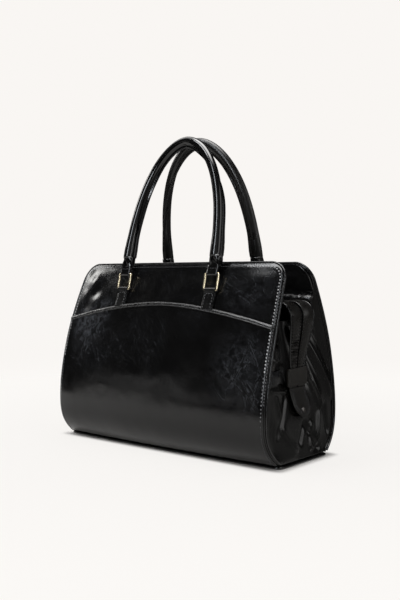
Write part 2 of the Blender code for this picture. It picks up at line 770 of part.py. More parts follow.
def tab_at_rivet():
    """Where the tab's middle line passes the rivet's height, and how far it leans there."""
    path = zip_end_path()
    for (x0, h0), (x1, h1) in zip(path, path[1:]):
        if h0 >= RIVET_HEIGHT > h1:
            share = (h0 - RIVET_HEIGHT) / (h0 - h1)
            return x0 + (x1 - x0) * share, math.atan2(x1 - x0, h0 - h1)
    return path[-1][0], 0.0


def make_tab_rivet(end, parts):
    """Domed rivet near the tab's tip, its shank in the tab's hole and clenched behind."""
    x, tilt = tab_at_rivet()
    half = ZIP_END_THICKNESS / 2 + TOUCH_GAP
    foot = -half - RIVET_CLENCH
    profile = [(0.0, half + RIVET_HEAD)]
    for angle in (65.0, 40.0, 15.0):
        a = math.radians(angle)
        profile.append((RIVET_RADIUS * math.cos(a), half + RIVET_HEAD * math.sin(a)))
    profile += [(RIVET_RADIUS, half), (RIVET_SHANK_RADIUS, half), (RIVET_SHANK_RADIUS, -half)]
    profile += [(RIVET_BACK_RADIUS, -half), (RIVET_BACK_RADIUS, foot), (0.0, foot)]
    bm = bmesh.new()
    verts = [bm.verts.new((radius, 0.0, rise)) for radius, rise in profile]
    edges = [bm.edges.new(pair) for pair in zip(verts, verts[1:])]
    bmesh.ops.spin(bm, geom=verts + edges, cent=(0.0, 0.0, 0.0), axis=(0.0, 0.0, 1.0),
                   steps=12, angle=math.tau, use_merge=True)
    bmesh.ops.remove_doubles(bm, verts=bm.verts, dist=0.000001)
    rivet = finish_mesh(f"{END_NAMES[end]}_tab_rivet", bm, DARK_METAL, parts)
    facing = Vector((end * math.cos(tilt), 0.0, math.sin(tilt)))
    rivet.rotation_euler = Vector((0.0, 0.0, 1.0)).rotation_difference(facing).to_euler()
    rivet.location = (end * x, 0.0, RIVET_HEIGHT)


def make_keeper(end, parts):
    """Sleeve round the zip end, and the strap that holds it to the front seam."""
    middle = keeper_middle_x()
    inner_x = ZIP_END_THICKNESS / 2 + LAYER_GAP
    inner_y = TAB_HALF_WIDTH + LAYER_GAP
    outer_x = inner_x + KEEPER_WALL
    outer_y = inner_y + KEEPER_WALL

    def frame(half_x, half_y, corner):
        return [(-half_x + corner, -half_y), (half_x - corner, -half_y), (half_x, -half_y + corner),
                (half_x, half_y - corner), (half_x - corner, half_y), (-half_x + corner, half_y),
                (-half_x, half_y - corner), (-half_x, -half_y + corner)]

    name = f"{END_NAMES[end]}_keeper_loop"
    hole = frame(inner_x, inner_y, TOUCH_GAP)
    item = plate(name, frame(outer_x, outer_y, KEEPER_WALL), KEEPER_TALL, MATT_LEATHER, parts, holes=[hole])
    item.location = (end * middle, 0.0, KEEPER_HEIGHT)
    strap_middle = KEEPER_HEIGHT + (KEEPER_TALL - STRAP_TALL) / 2
    low = strap_middle - STRAP_TALL / 2

    def place(share, row):
        height = low + STRAP_TALL * row
        half = depth_at(edge_half_length(height - FOOT_RISE), height, FACING_LAYER + LAYER_GAP)
        outer = half - STRAP_END
        y = (outer + outer_y + TOUCH_GAP) / 2 - end * share * (outer - outer_y - TOUCH_GAP) / 2
        x = gusset_x(y / half, height) + STRAP_STAND_OFF
        return (end * x, -y, height)

    strap = f"{END_NAMES[end]}_keeper_strap"
    sheet(strap, 6, 1, place, STRAP_THICKNESS, BLACK_LEATHER, parts, offset=1.0)


# Slider and pull

def make_slider(parts, cutters):
    """Two blades held by a post between the rows of teeth, with a bridge for the pull."""
    axis = add_axis("slider_axis", parts, (SLIDER_REST_X, 0.0, TAPE_HEIGHT))
    half = SLIDER_HALF_WIDTH
    inner = CHAIN_THICKNESS / 2 + TOUCH_GAP
    outer = inner + SLIDER_BLADE
    lip = TAPE_THICKNESS / 2 + TOUCH_GAP
    wall = half - SLIDER_LIP
    cut = SLIDER_CHAMFER
    blade = [(-half, lip), (-wall, lip), (-wall, inner), (wall, inner), (wall, lip), (half, lip),
             (half, outer - cut), (half - cut, outer), (cut - half, outer), (-half, outer - cut)]
    pieces = []
    for label, flip in (("zip_slider", 1), ("slider_lower_blade", -1)):
        group = parts if flip == 1 else cutters
        outline = [(y, flip * z) for y, z in blade]
        item = plate(label, outline, SLIDER_LENGTH, DARK_METAL if flip == 1 else None, group)
        item.rotation_euler = (math.pi / 2, 0.0, math.pi / 2)
        item.parent = axis
        pieces.append(as_mesh(item))
    slider = pieces[0]
    combine(slider, pieces[1], "UNION")
    post = SLIDER_POST_HALF
    reach = inner + SLIDER_BLADE / 2
    low = (SLIDER_POST_START, -post, -reach)
    high = (SLIDER_POST_END, post, reach)
    combine(slider, block("slider_post", low, high, cutters, parent=axis), "UNION")
    hole = BRIDGE_HOLE_HALF_LENGTH
    length = BRIDGE_HALF_LENGTH
    foot = outer - SLIDER_BLADE / 2
    under = outer + BRIDGE_HOLE_HEIGHT
    top = under + BRIDGE_BEAM
    cut = BRIDGE_CHAMFER
    arch = [(-length, foot), (-hole, foot), (-hole, under), (hole, under), (hole, foot), (length, foot),
            (length, top - cut), (length - cut, top), (cut - length, top), (-length, top - cut)]
    bridge = plate("slider_bridge", arch, 2 * BRIDGE_HALF_WIDTH, None, cutters)
    bridge.rotation_euler.x = math.pi / 2
    bridge.parent = axis
    combine(slider, as_mesh(bridge), "UNION")
    pull_axis = add_axis("pull_axis", parts, (0.0, 0.0, outer + BRIDGE_HOLE_HEIGHT / 2), parent=axis)
    make_pull(pull_axis, parts)


def make_pull(axis, parts):
    """Pull that lies back over the zip end; its bar turns in the slider's bridge."""
    bar = PULL_THICKNESS / 2
    half = PULL_HALF_WIDTH
    tip = PULL_LENGTH - half
    outline = [(bar, -half), (bar, half), (-tip, half)]
    outline += [(-tip - half * math.sin(math.radians(a)), half * math.cos(math.radians(a)))
                for a in (30.0, 60.0, 90.0, 120.0, 150.0)]
    outline += [(-tip, -half)]
    wide = BRIDGE_HALF_WIDTH + LAYER_GAP
    slot = [(-bar, -wide), (-bar, wide), (-PULL_SLOT_END, wide), (-PULL_SLOT_END, -wide)]
    plate("zip_pull", outline, PULL_THICKNESS, DARK_METAL, parts, axis, holes=[slot])


# Handles and their hardware

def ring_spread(side):
    return RING_SPREAD_FRONT if side == FRONT else RING_SPREAD_BACK


def lower_bar(side):
    """Distance from the middle plane and height of the rings' lower bars."""
    height = TOP_HEIGHT - RING_DROP
    stand_off = LAYER_GAP + LOOP_THICKNESS + EYE_GAP + RING_WIRE_RADIUS
    return depth_at(ring_spread(side) - LOOP_WIDTH / 2, height, -stand_off), height


def make_ring_loop(side, end, parts):
    """Strap folded over a ring's lower bar, both ends down on the wall above the pocket."""
    bar_y, bar_height = lower_bar(side)
    nearest_x = ring_spread(side) - LOOP_WIDTH / 2
    if side == FRONT:
        foot = binding_point(nearest_x).z + BINDING_RADIUS + LAYER_GAP
    else:
        foot = FOOT_RISE + POCKET_HEIGHT_END
    radius = EYE_RADIUS + LOOP_THICKNESS / 2
    inner = LAYER_GAP + LOOP_THICKNESS / 2
    outer = inner + LOOP_THICKNESS + LAYER_GAP
    path = []
    for share in (0.0, 0.35, 0.7):
        height = foot + (bar_height - foot) * share
        path.append((depth_at(nearest_x, height, -inner), height))
    for angle in range(180, -1, -30):
        a = math.radians(angle)
        path.append((bar_y + radius * math.cos(a), bar_height + radius * math.sin(a)))
    for share in (0.75, 0.5, 0.25, 0.0):
        height = foot + (bar_height - foot) * share
        path.append((depth_at(nearest_x, height, -outer), height))

    def place(share, row):
        y, height = path[row]
        return (end * ring_spread(side) + side * share * LOOP_WIDTH / 2, side * y, height)

    name = f"{SIDE_NAMES[side]}_{END_NAMES[end]}_ring_loop"
    sheet(name, 1, len(path) - 1, place, LOOP_THICKNESS, BLACK_LEATHER, parts, offset=0.0)


def ring_outline():
    """Middle line of a ring, its lower bar on the local X axis."""
    half = RING_SPAN / 2
    inner = half - RING_CORNER_RADIUS
    points = []
    for corner_x, corner_z, start in ((1, 1, 0), (-1, 1, 90), (-1, -1, 180), (1, -1, 270)):
        for angle in (0, 30, 60, 90):
            a = math.radians(start + angle)
            x = corner_x * inner + RING_CORNER_RADIUS * math.cos(a)
            z = corner_z * inner + RING_CORNER_RADIUS * math.sin(a)
            points.append((x, 0.0, half + z))
    return points


def arch_point(turn, side):
    x = ring_spread(side) * math.cos(turn) ** ARCH_POWER_X
    return Vector((x, 0.0, ARCH_HEIGHT * math.sin(turn) ** ARCH_POWER_UP))


def even_arch(count, side):
    """Points evenly spaced along the handle's arch, from one handle end to the other."""
    fine = [arch_point(math.pi / 2 * (step / 600) ** 2, side) for step in range(601)]
    travelled = [0.0]
    for before, after in zip(fine, fine[1:]):
        travelled.append(travelled[-1] + (after - before).length)
    start = HANDLE_END_LENGTH + TOUCH_GAP
    half = []
    index = 0
    for step in range(count):
        wanted = start + (travelled[-1] - start) * step / (count - 1)
        while index < len(fine) - 2 and travelled[index + 1] < wanted:
            index += 1
        share = (wanted - travelled[index]) / (travelled[index + 1] - travelled[index])
        half.append(fine[index].lerp(fine[index + 1], min(share, 1.0)))
    other = [Vector((-point.x, 0.0, point.z)) for point in reversed(half[:-1])]
    return half + other


def roll_section():
    """Leather wrapped round the cord, its two edges sewn together as a flange."""
    bore = ROLL_RADIUS - ROLL_LEATHER
    lip = ROLL_SLIT_HALF + ROLL_LIP
    end = -(ROLL_RADIUS + ROLL_FLANGE)
    outer_start = math.pi - math.asin(lip / ROLL_RADIUS)
    inner_start = math.pi - math.asin(ROLL_SLIT_HALF / bore)
    section = [(end, ROLL_SLIT_HALF), (end, lip)]
    for step in range(ROLL_SIDES + 1):
        a = outer_start * (1.0 - 2.0 * step / ROLL_SIDES)
        section.append((ROLL_RADIUS * math.cos(a), ROLL_RADIUS * math.sin(a)))
    section += [(end, -lip), (end, -ROLL_SLIT_HALF)]
    for step in range(ROLL_SIDES + 1):
        a = inner_start * (2.0 * step / ROLL_SIDES - 1.0)
        section.append((bore * math.cos(a), bore * math.sin(a)))
    return section


def make_roll(side, axis, parts):
    """The sewn edge faces the hand at the top and turns to one side down each leg."""
    points = even_arch((ROLL_STATIONS + 1) // 2, side)
    across = Vector((0.0, 1.0, 0.0))
    profile = roll_section()
    middle = (len(points) - 1) / 2
    sections = []
    for index, point in enumerate(points):
        before = points[max(index - 1, 0)]
        after = points[min(index + 1, len(points) - 1)]
        along = (after - before).normalized()
        outward = along.cross(across).normalized()
        if outward.dot(point - Vector((0.0, 0.0, ARCH_HEIGHT / 2))) < 0.0:
            outward.negate()
        end = RIGHT if index < middle else LEFT
        travelled = abs(index - middle) / (middle * SEAM_REACH[end])
        turn = math.radians(SEAM_TURN[side, end]) * ease(travelled)
        away = outward * math.cos(turn) + across * side * math.sin(turn)
        beside = across * math.cos(turn) - outward * side * math.sin(turn)
        sections.append([point + away * p + beside * q for p, q in profile])
    name = SIDE_NAMES[side]
    loft(f"{name}_handle_roll", sections, BLACK_LEATHER, parts, axis)
    steepest = 1.5 * math.radians(SEAM_TURN[FRONT, RIGHT]) / (middle * SEAM_REACH_RIGHT)
    flat_of_bore = (ROLL_RADIUS - ROLL_LEATHER) * math.cos(math.pi / ROLL_SIDES + steepest / 2)
    core_radius = flat_of_bore - LAYER_GAP
    tube(f"{name}_handle_core", points, core_radius, 1, CORD, parts, axis)


def end_section(half_x, half_y, squareness, x, up):
    """A closed section between a circle and a rounded bar."""
    points = []
    count = 12
    for step in range(count):
        a = math.tau * (step + 0.5) / count
        cos_a = math.cos(a)
        sin_a = math.sin(a)
        px = math.copysign(abs(cos_a) ** (2.0 / squareness), cos_a)
        py = math.copysign(abs(sin_a) ** (2.0 / squareness), sin_a)
        points.append((x + half_x * px, half_y * py, up))
    return points


def make_handle_end(side, end, axis, parts, cutters):
    """Flat end of a handle, folded round the ring's upper bar and swelling up to the roll."""
    wrap = EYE_RADIUS + LOOP_THICKNESS
    half_width = LOOP_WIDTH / 2
    squareness = HANDLE_END_SQUARENESS
    centre = end * ring_spread(side)
    sections = []
    for angle in (-75.0, -45.0, -15.0, 20.0):
        a = math.radians(angle)
        half_y = wrap * math.cos(a)
        sections.append(end_section(half_width, half_y, squareness, centre, wrap * math.sin(a)))
    flat_up = HANDLE_END_LENGTH * 0.35
    sections.append(end_section(half_width, HANDLE_END_FLAT / 2, squareness, centre, flat_up))
    for share in (0.45, 0.8, 1.0):
        up = flat_up + (HANDLE_END_LENGTH - flat_up) * share
        swell = ease(share)
        half_x = half_width + (ROLL_RADIUS - half_width) * swell
        half_y = HANDLE_END_FLAT / 2 + (ROLL_RADIUS - HANDLE_END_FLAT / 2) * swell
        corner = squareness + (2.0 - squareness) * swell
        sections.append(end_section(half_x, half_y, corner, centre, up))
    name = f"{SIDE_NAMES[side]}_{END_NAMES[end]}_handle_end"
    item = loft(name, sections, BLACK_LEATHER, parts, axis)
    length = LOOP_WIDTH + 2 * CUTTER_MARGIN
    place = (centre, 0.0, 0.0)
    bore = rod(f"{name}_eye", place, (1.0, 0.0, 0.0), EYE_RADIUS, length, 10, cutters, parent=axis)
    combine(item, bore, "DIFFERENCE")


def make_handle(side, parts, cutters):
    bar_y, bar_height = lower_bar(side)
    apex = APEX_OFFSET_FRONT if side == FRONT else APEX_OFFSET_BACK
    lean = side * math.asin((bar_y - apex) / (RING_SPAN + ARCH_HEIGHT))
    name = SIDE_NAMES[side]
    ring_axis = add_axis(f"{name}_ring_axis", parts, (0.0, side * bar_y, bar_height), lean)
    handle_axis = add_axis(f"{name}_handle_axis", parts, (0.0, 0.0, RING_SPAN), parent=ring_axis)
    for end in (LEFT, RIGHT):
        label = f"{name}_{END_NAMES[end]}_ring"
        wire = RING_WIRE_RADIUS
        ring = tube(label, ring_outline(), wire, 2, PALE_GOLD, parts, ring_axis, closed=True)
        ring.location.x = end * ring_spread(side)
        make_ring_loop(side, end, parts)
        make_handle_end(side, end, handle_axis, parts, cutters)
    make_roll(side, handle_axis, parts)


def main():
    clear_scene()
    parts = new_collection("tote_bag")
    cutters = new_collection("tote_bag_cutters")
    for side in (FRONT, BACK):
        make_wall(side, parts)
        make_facing(side, parts)
        make_edge_piping(side, parts)
        make_flange(side, parts)
        make_handle(side, parts, cutters)
    make_pocket(parts)
    make_base(parts)
    make_lining(parts)
    for end in (LEFT, RIGHT):
        make_gusset(end, parts)
        make_zip_end_tape(end, parts, cutters)
        make_zip_end(end, parts, cutters)
        make_tab_rivet(end, parts)
        make_keeper(end, parts)
    make_slider(parts, cutters)


main()
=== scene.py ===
import math
from functools import reduce

import bmesh
import bpy
from mathutils import Matrix, Vector, noise


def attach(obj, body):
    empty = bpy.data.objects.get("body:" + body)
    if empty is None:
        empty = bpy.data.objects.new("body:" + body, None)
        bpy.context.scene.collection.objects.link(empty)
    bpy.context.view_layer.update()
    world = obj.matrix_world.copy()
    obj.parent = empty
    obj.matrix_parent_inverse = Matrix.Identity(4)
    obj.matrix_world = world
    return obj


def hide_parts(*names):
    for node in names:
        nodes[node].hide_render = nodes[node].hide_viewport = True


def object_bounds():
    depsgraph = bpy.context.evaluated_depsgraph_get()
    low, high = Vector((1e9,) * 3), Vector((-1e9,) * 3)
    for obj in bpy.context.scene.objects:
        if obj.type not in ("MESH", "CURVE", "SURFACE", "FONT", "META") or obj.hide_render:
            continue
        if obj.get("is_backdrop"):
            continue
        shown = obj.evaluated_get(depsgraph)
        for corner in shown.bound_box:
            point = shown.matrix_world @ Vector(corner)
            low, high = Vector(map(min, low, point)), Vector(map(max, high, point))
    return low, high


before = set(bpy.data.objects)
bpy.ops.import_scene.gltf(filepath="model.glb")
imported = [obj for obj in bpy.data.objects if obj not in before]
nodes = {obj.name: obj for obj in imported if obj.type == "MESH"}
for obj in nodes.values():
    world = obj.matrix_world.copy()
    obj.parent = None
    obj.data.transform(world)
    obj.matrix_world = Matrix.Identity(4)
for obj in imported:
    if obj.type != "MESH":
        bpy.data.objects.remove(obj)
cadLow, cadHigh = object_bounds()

front, back = -1, 1
sideNames = {front: "front", back: "back"}
endNames = {-1: "left", 1: "right"}

# camera, in metres and degrees
shot = {"place": (0.77228, -0.91676, 0.24900), "turn": 39.463, "dip": 1.603, "lens": 47.94}


def makeCamera():
    data = bpy.data.cameras.new("photoCamera")
    data.sensor_width = 36.0
    data.lens = shot["lens"]
    data.clip_start = 0.01
    data.clip_end = 60.0
    camera = bpy.data.objects.new("photoCamera", data)
    camera.location = shot["place"]
    camera.rotation_euler = (math.radians(90.0 - shot["dip"]), 0.0, math.radians(shot["turn"]))
    bpy.context.scene.collection.objects.link(camera)
    bpy.context.scene.camera = camera


makeCamera()
print("camera ready")

# form of the bag, the same measures as the solids
bag = {
    "footRise": 0.0040, "height": 0.2650, "corner": 0.0230,
    "halfLength": 0.1952, "footFlare": 0.0038, "flareHeight": 0.0500, "topTaper": 0.0058, "taperStart": 0.1550,
    "halfDepthFoot": 0.0572, "halfDepthBelly": 0.0872, "halfDepthTop": 0.0288, "bellyHeight": 0.0620,
    "bellyFullness": 2.9, "shoulderFullness": 1.65, "bowFoot": 0.0060, "bowTop": 0.0118,
    "wall": 0.0024, "facing": 0.0012, "layerGap": 0.0004, "touchGap": 0.0003,
    "gusset": 0.0016, "gussetInset": 0.0005, "foldDepth": 0.0330, "foldStart": 0.0360, "foldFull": 0.2010,
    "foldRoundness": 1.6, "gussetDip": 0.1860,
}
topHeight = bag["footRise"] + bag["height"]
facingLayer = bag["wall"] + bag["layerGap"]
liningLayer = facingLayer + bag["facing"] + bag["layerGap"]
cornerStart = bag["height"] - bag["corner"]


def smooth(share):
    share = min(max(share, 0.0), 1.0)
    return share * share * (3.0 - 2.0 * share)


def between(low, high, share):
    return low + (high - low) * share


def halfLength(z):
    foot = max(0.0, 1.0 - z / bag["flareHeight"]) ** 2
    top = max(0.0, (z - bag["taperStart"]) / (bag["height"] - bag["taperStart"])) ** 1.5
    return bag["halfLength"] + bag["footFlare"] * foot - bag["topTaper"] * top


def edgeHalfLength(z, grow=0.0):
    radius = bag["corner"] + grow
    rise = z - cornerStart
    half = halfLength(z) + grow
    if rise > 0.0:
        half -= radius - math.sqrt(max(radius * radius - rise * rise, 0.0))
    return half


def halfDepth(z):
    if z < bag["bellyHeight"]:
        rise = 1.0 - (1.0 - z / bag["bellyHeight"]) ** bag["bellyFullness"]
        return between(bag["halfDepthFoot"], bag["halfDepthBelly"], rise)
    fall = ((z - bag["bellyHeight"]) / (bag["height"] - bag["bellyHeight"])) ** bag["shoulderFullness"]
    return between(bag["halfDepthBelly"], bag["halfDepthTop"], fall)


def wallDepth(x, z):
    bow = between(bag["bowFoot"], bag["bowTop"], z / bag["height"])
    return halfDepth(z) + bow * (1.0 - (x / halfLength(z)) ** 2)


def skinNormal(x, z, side):
    step = 0.0005
    slopeX = (wallDepth(x + step, z) - wallDepth(x - step, z)) / (2 * step)
    slopeZ = (wallDepth(x, z + step) - wallDepth(x, z - step)) / (2 * step)
    outward = Vector((-slopeX, 1.0, -slopeZ)).normalized()
    outward.y *= side
    return outward


def skin(x, z, side, depth=0.0):
    place = Vector((x, side * wallDepth(x, z), bag["footRise"] + z))
    return place - skinNormal(x, z, side) * depth


def depthAt(x, height, depth):
    z = height - bag["footRise"]
    for _ in range(8):
        z += height - skin(x, z, back, depth).z
    return skin(x, z, back, depth).y


def fold(v, z):
    grown = smooth((z - bag["foldStart"]) / (bag["foldFull"] - bag["foldStart"]))
    return bag["foldDepth"] * grown * max(math.cos(v * math.pi / 2), 0.0) ** bag["foldRoundness"]


def gussetX(v, height):
    z = height - bag["footRise"]
    return halfLength(z) - bag["gussetInset"] - fold(v, z)


def gussetTop(v):
    return bag["footRise"] + bag["gussetDip"] + (cornerStart - bag["gussetDip"]) * abs(v) ** 3


scene = bpy.context.scene


def newMaterial(name):
    material = bpy.data.materials.new(name)
    material.use_nodes = True
    tree = material.node_tree
    return material, tree, tree.nodes["Principled BSDF"]


def addNode(tree, kind, **settings):
    node = tree.nodes.new(kind)
    for key, value in settings.items():
        setattr(node, key, value)
    return node


def calc(tree, operation, first, second=None, third=None, clamp=False):
    node = addNode(tree, "ShaderNodeMath", operation=operation, use_clamp=clamp)
    for socket, value in zip(node.inputs, (first, second, third)):
        if value is None:
            continue
        if isinstance(value, (int, float)):
            socket.default_value = value
        else:
            tree.links.new(value, socket)
    return node.outputs[0]


def times(tree, *values):
    return reduce(lambda first, second: calc(tree, "MULTIPLY", first, second), values)


def plus(tree, *values):
    return reduce(lambda first, second: calc(tree, "ADD", first, second), values)


def most(tree, *values):
    return reduce(lambda first, second: calc(tree, "MAXIMUM", first, second), values)


def setInputs(node, values):
    for label, value in values.items():
        node.inputs[label].default_value = value


def ramp(tree, value, low, high, outLow=0.0, outHigh=1.0, kind="SMOOTHSTEP"):
    node = addNode(tree, "ShaderNodeMapRange", interpolation_type=kind)
    tree.links.new(value, node.inputs["Value"])
    setInputs(node, {"From Min": low, "From Max": high, "To Min": outLow, "To Max": outHigh})
    return node.outputs["Result"]


def vectorMath(tree, operation, first, second=None):
    node = addNode(tree, "ShaderNodeVectorMath", operation=operation)
    tree.links.new(first, node.inputs[0])
    if second is not None:
        node.inputs[1].default_value = second
    return node.outputs["Value" if operation in ("DISTANCE", "DOT_PRODUCT", "LENGTH") else "Vector"]


def coordinatesOf(tree, source="Object"):
    return addNode(tree, "ShaderNodeTexCoord").outputs[source]


def axesOf(tree, vector):
    node = addNode(tree, "ShaderNodeSeparateXYZ")
    tree.links.new(vector, node.inputs[0])
    return node.outputs


def putRelief(tree, shader, height, strength, distance):
    relief = addNode(tree, "ShaderNodeBump")
    setInputs(relief, {"Strength": strength, "Distance": distance})
    tree.links.new(height, relief.inputs["Height"])
    tree.links.new(relief.outputs["Normal"], shader.inputs["Normal"])


def blendColour(tree, factor, first, second):
    node = addNode(tree, "ShaderNodeMix", data_type="RGBA")
    for socket, value in ((node.inputs[0], factor), (node.inputs[6], first), (node.inputs[7], second)):
        if isinstance(value, (int, float)):
            socket.default_value = value
        elif isinstance(value, tuple):
            socket.default_value = (*value, 1.0)
        else:
            tree.links.new(value, socket)
    return node.outputs[2]


def noiseNode(tree, coordinates, scale, detail=3.0, roughness=0.5, distortion=0.0):
    node = addNode(tree, "ShaderNodeTexNoise")
    tree.links.new(coordinates, node.inputs["Vector"])
    setInputs(node, {"Scale": scale, "Detail": detail, "Roughness": roughness, "Distortion": distortion})
    return node.outputs["Fac"]


def groupEnds(tree, takes, gives):
    # the group's own sockets: what it takes, with a plain value, and what it gives
    for label, (kind, value) in takes.items():
        socket = tree.interface.new_socket(name=label, in_out="INPUT", socket_type=kind)
        if value is not None:
            socket.default_value = value
    for label, kind in gives.items():
        tree.interface.new_socket(name=label, in_out="OUTPUT", socket_type=kind)
    return addNode(tree, "NodeGroupInput"), addNode(tree, "NodeGroupOutput")


crease = {
    # sets of hair lines, cut in as grooves and painted lighter as painted glints: turn in degrees, scale across and
    # along per metre, half-width in noise value
    "strands": [(-40.0, 210.0, 15.0, 0.034), (22.0, 260.0, 26.0, 0.034), (-60.0, 180.0, 13.0, 0.032)],
    "drift": 0.008, "driftScale": 26.0, "shown": 0.30,
    # where they and their painted glints gather: place, reach, weight
    "spots": [(0.165, -0.085, 0.125, 0.070, 1.0), (0.135, -0.045, 0.245, 0.055, 0.5),
              (0.180, -0.042, 0.246, 0.030, 1.0), (-0.130, -0.080, 0.150, 0.065, 0.8),
              (-0.020, -0.080, 0.165, 0.060, 0.45), (0.010, -0.05, 0.235, 0.045, 0.18),
              (-0.130, 0.075, 0.150, 0.085, 0.5), (0.130, 0.055, 0.240, 0.070, 0.4),
              (0.020, 0.080, 0.200, 0.060, 0.2)],
    "loose": 0.5, "looseScale": 12.0, "looseHeight": (0.09, 0.14),
    # patches of painted satin sheen, a painted highlight: place, reach, weight
    "paintedSatin": [(-0.148, -0.070, 0.178, 0.046, 0.34), (-0.118, -0.060, 0.197, 0.028, 0.30),
              (0.150, -0.060, 0.225, 0.055, 0.07), (0.150, -0.078, 0.130, 0.065, 0.09)],
    "paintedHaze": 0.055, "hazeScale": 130.0, "faintScale": 60.0, "wearScale": 34.0, "wear": (-0.05, 0.07),
    "roughen": 0.10, "poreScale": 820.0, "pores": 0.10, "groove": -0.55,
    "grain": 0.55, "grainScale": 150.0, "swell": 1.10, "swellScale": 42.0,
}


def nearSpots(tree, place, spots, core, shown=None):
    # the strongest of some round patches; each fades from a share of its reach outward
    for x, y, z, reach, weight in spots:
        away = vectorMath(tree, "DISTANCE", place, (x, y, z))
        spot = ramp(tree, away, reach * core, reach, weight, 0.0)
        shown = spot if shown is None else most(tree, shown, spot)
    return shown


def hairLines(tree, place):
    # thin contour lines of stretched noise, one set for each direction, read as hair creases: grooves and painted
    # glints
    drift = addNode(tree, "ShaderNodeTexNoise")
    tree.links.new(place, drift.inputs["Vector"])
    drift.inputs["Scale"].default_value = crease["driftScale"]
    shift = addNode(tree, "ShaderNodeVectorMath", operation="MULTIPLY_ADD")
    tree.links.new(drift.outputs["Color"], shift.inputs[0])
    shift.inputs[1].default_value = (crease["drift"],) * 3
    tree.links.new(place, shift.inputs[2])
    lines = []
    for angle, across, lengthwise, width in crease["strands"]:
        turned = addNode(tree, "ShaderNodeMapping", vector_type="TEXTURE")
        tree.links.new(shift.outputs[0], turned.inputs["Vector"])
        setInputs(turned, {"Rotation": (0.0, math.radians(angle), 0.0), "Location": (angle * 0.01, 0.0, 0.0),
                           "Scale": (1.0 / across, 1.0 / across, 1.0 / lengthwise)})
        value = noiseNode(tree, turned.outputs[0], 1.0, 1.0, 0.5, 0.2)
        away = calc(tree, "ABSOLUTE", calc(tree, "SUBTRACT", value, 0.5))
        broken = ramp(tree, noiseNode(tree, turned.outputs[0], 0.30, 2.0), 0.50, 0.60)
        lines.append(times(tree, ramp(tree, away, 0.0, width, 1.0, 0.0), broken))
    return most(tree, *lines)


def creaseGroup():
    # fine curling creases, loose patches of them, and the pores between; creases, satin patches and haze also
    # lighten the colour as painted glints and painted sheen
    tree = bpy.data.node_groups.new("creasedSurface", "ShaderNodeTree")
    given, made = groupEnds(
        tree,
        {"Coordinates": ("NodeSocketVector", None), "Painted Glints": ("NodeSocketFloat", 1.0),
         "Roughness": ("NodeSocketFloat", 0.25), "Tone": ("NodeSocketColor", (0.004, 0.004, 0.004, 1.0)),
         "Painted Glint Tone": ("NodeSocketColor", (0.03, 0.033, 0.04, 1.0))},
        {"Colour": "NodeSocketColor", "Roughness": "NodeSocketFloat", "Height": "NodeSocketFloat"})
    place = given.outputs["Coordinates"]
    lines = hairLines(tree, place)
    loose = ramp(tree, noiseNode(tree, place, crease["looseScale"], 2.0), 0.44, 0.66, 0.0, crease["loose"])
    patches = times(tree, loose, ramp(tree, axesOf(tree, place)["Z"], *crease["looseHeight"]))
    patches = nearSpots(tree, place, crease["spots"], 0.35, patches)
    fine = ramp(tree, noiseNode(tree, place, crease["hazeScale"], 5.0, 0.7, 0.4), 0.36, 0.66)
    paintedSatin = times(tree, nearSpots(tree, place, crease["paintedSatin"], 0.2), fine)
    faint = ramp(tree, noiseNode(tree, place, crease["faintScale"], 3.0, 0.6), 0.36, 0.58)
    creases = times(tree, lines, patches, faint, crease["shown"])
    # painted sheen: a faint lighter haze over the crease patches
    paintedHaze = ramp(tree, noiseNode(tree, place, crease["hazeScale"], 5.0, 0.7, 0.6), 0.30, 0.75)
    # painted light: crease glints, satin sheen and haze, scaled by the finish's share of them
    paintedLight = plus(tree, creases, paintedSatin, times(tree, patches, paintedHaze, crease["paintedHaze"]))
    shown = calc(tree, "MULTIPLY", given.outputs["Painted Glints"], paintedLight, clamp=True)
    tone = blendColour(tree, shown, given.outputs["Tone"], given.outputs["Painted Glint Tone"])
    tree.links.new(tone, made.inputs["Colour"])
    wear = ramp(tree, noiseNode(tree, place, crease["wearScale"], 4.0, 0.6), 0.3, 0.7, *crease["wear"])
    rough = plus(tree, given.outputs["Roughness"], wear)
    rough = calc(tree, "ADD", rough, times(tree, creases, crease["roughen"]), clamp=True)
    tree.links.new(rough, made.inputs["Roughness"])
    pores = addNode(tree, "ShaderNodeTexVoronoi", feature="DISTANCE_TO_EDGE")
    tree.links.new(place, pores.inputs["Vector"])
    pores.inputs["Scale"].default_value = crease["poreScale"]
    height = plus(tree, times(tree, ramp(tree, pores.outputs["Distance"], 0.0, 0.22), crease["pores"]),
                  times(tree, creases, crease["groove"]),
                  times(tree, noiseNode(tree, place, crease["grainScale"], 4.0, 0.6, 0.8), crease["grain"]),
                  times(tree, noiseNode(tree, place, crease["swellScale"], 3.0, 0.5, 0.5), crease["swell"]))
    tree.links.new(height, made.inputs["Height"])
    return tree


def weaveGroup():
    # plain weave on the piece's own map, in threads per metre
    tree = bpy.data.node_groups.new("plainWeave", "ShaderNodeTree")
    given, made = groupEnds(
        tree, {"Coordinates": ("NodeSocketVector", None), "Threads": ("NodeSocketFloat", 1400.0)},
        {"Height": "NodeSocketFloat", "Shade": "NodeSocketFloat"})
    parts = axesOf(tree, given.outputs["Coordinates"])
    waves = [calc(tree, "SINE", times(tree, parts[axis], given.outputs["Threads"], math.pi)) for axis in (0, 1)]
    woven = times(tree, *waves)
    tree.links.new(calc(tree, "ABSOLUTE", woven), made.inputs["Height"])
    tree.links.new(ramp(tree, woven, -1.0, 1.0, 0.75, 1.15, "LINEAR"), made.inputs["Shade"])
    return tree


creasedSurface = creaseGroup()
plainWeave = weaveGroup()


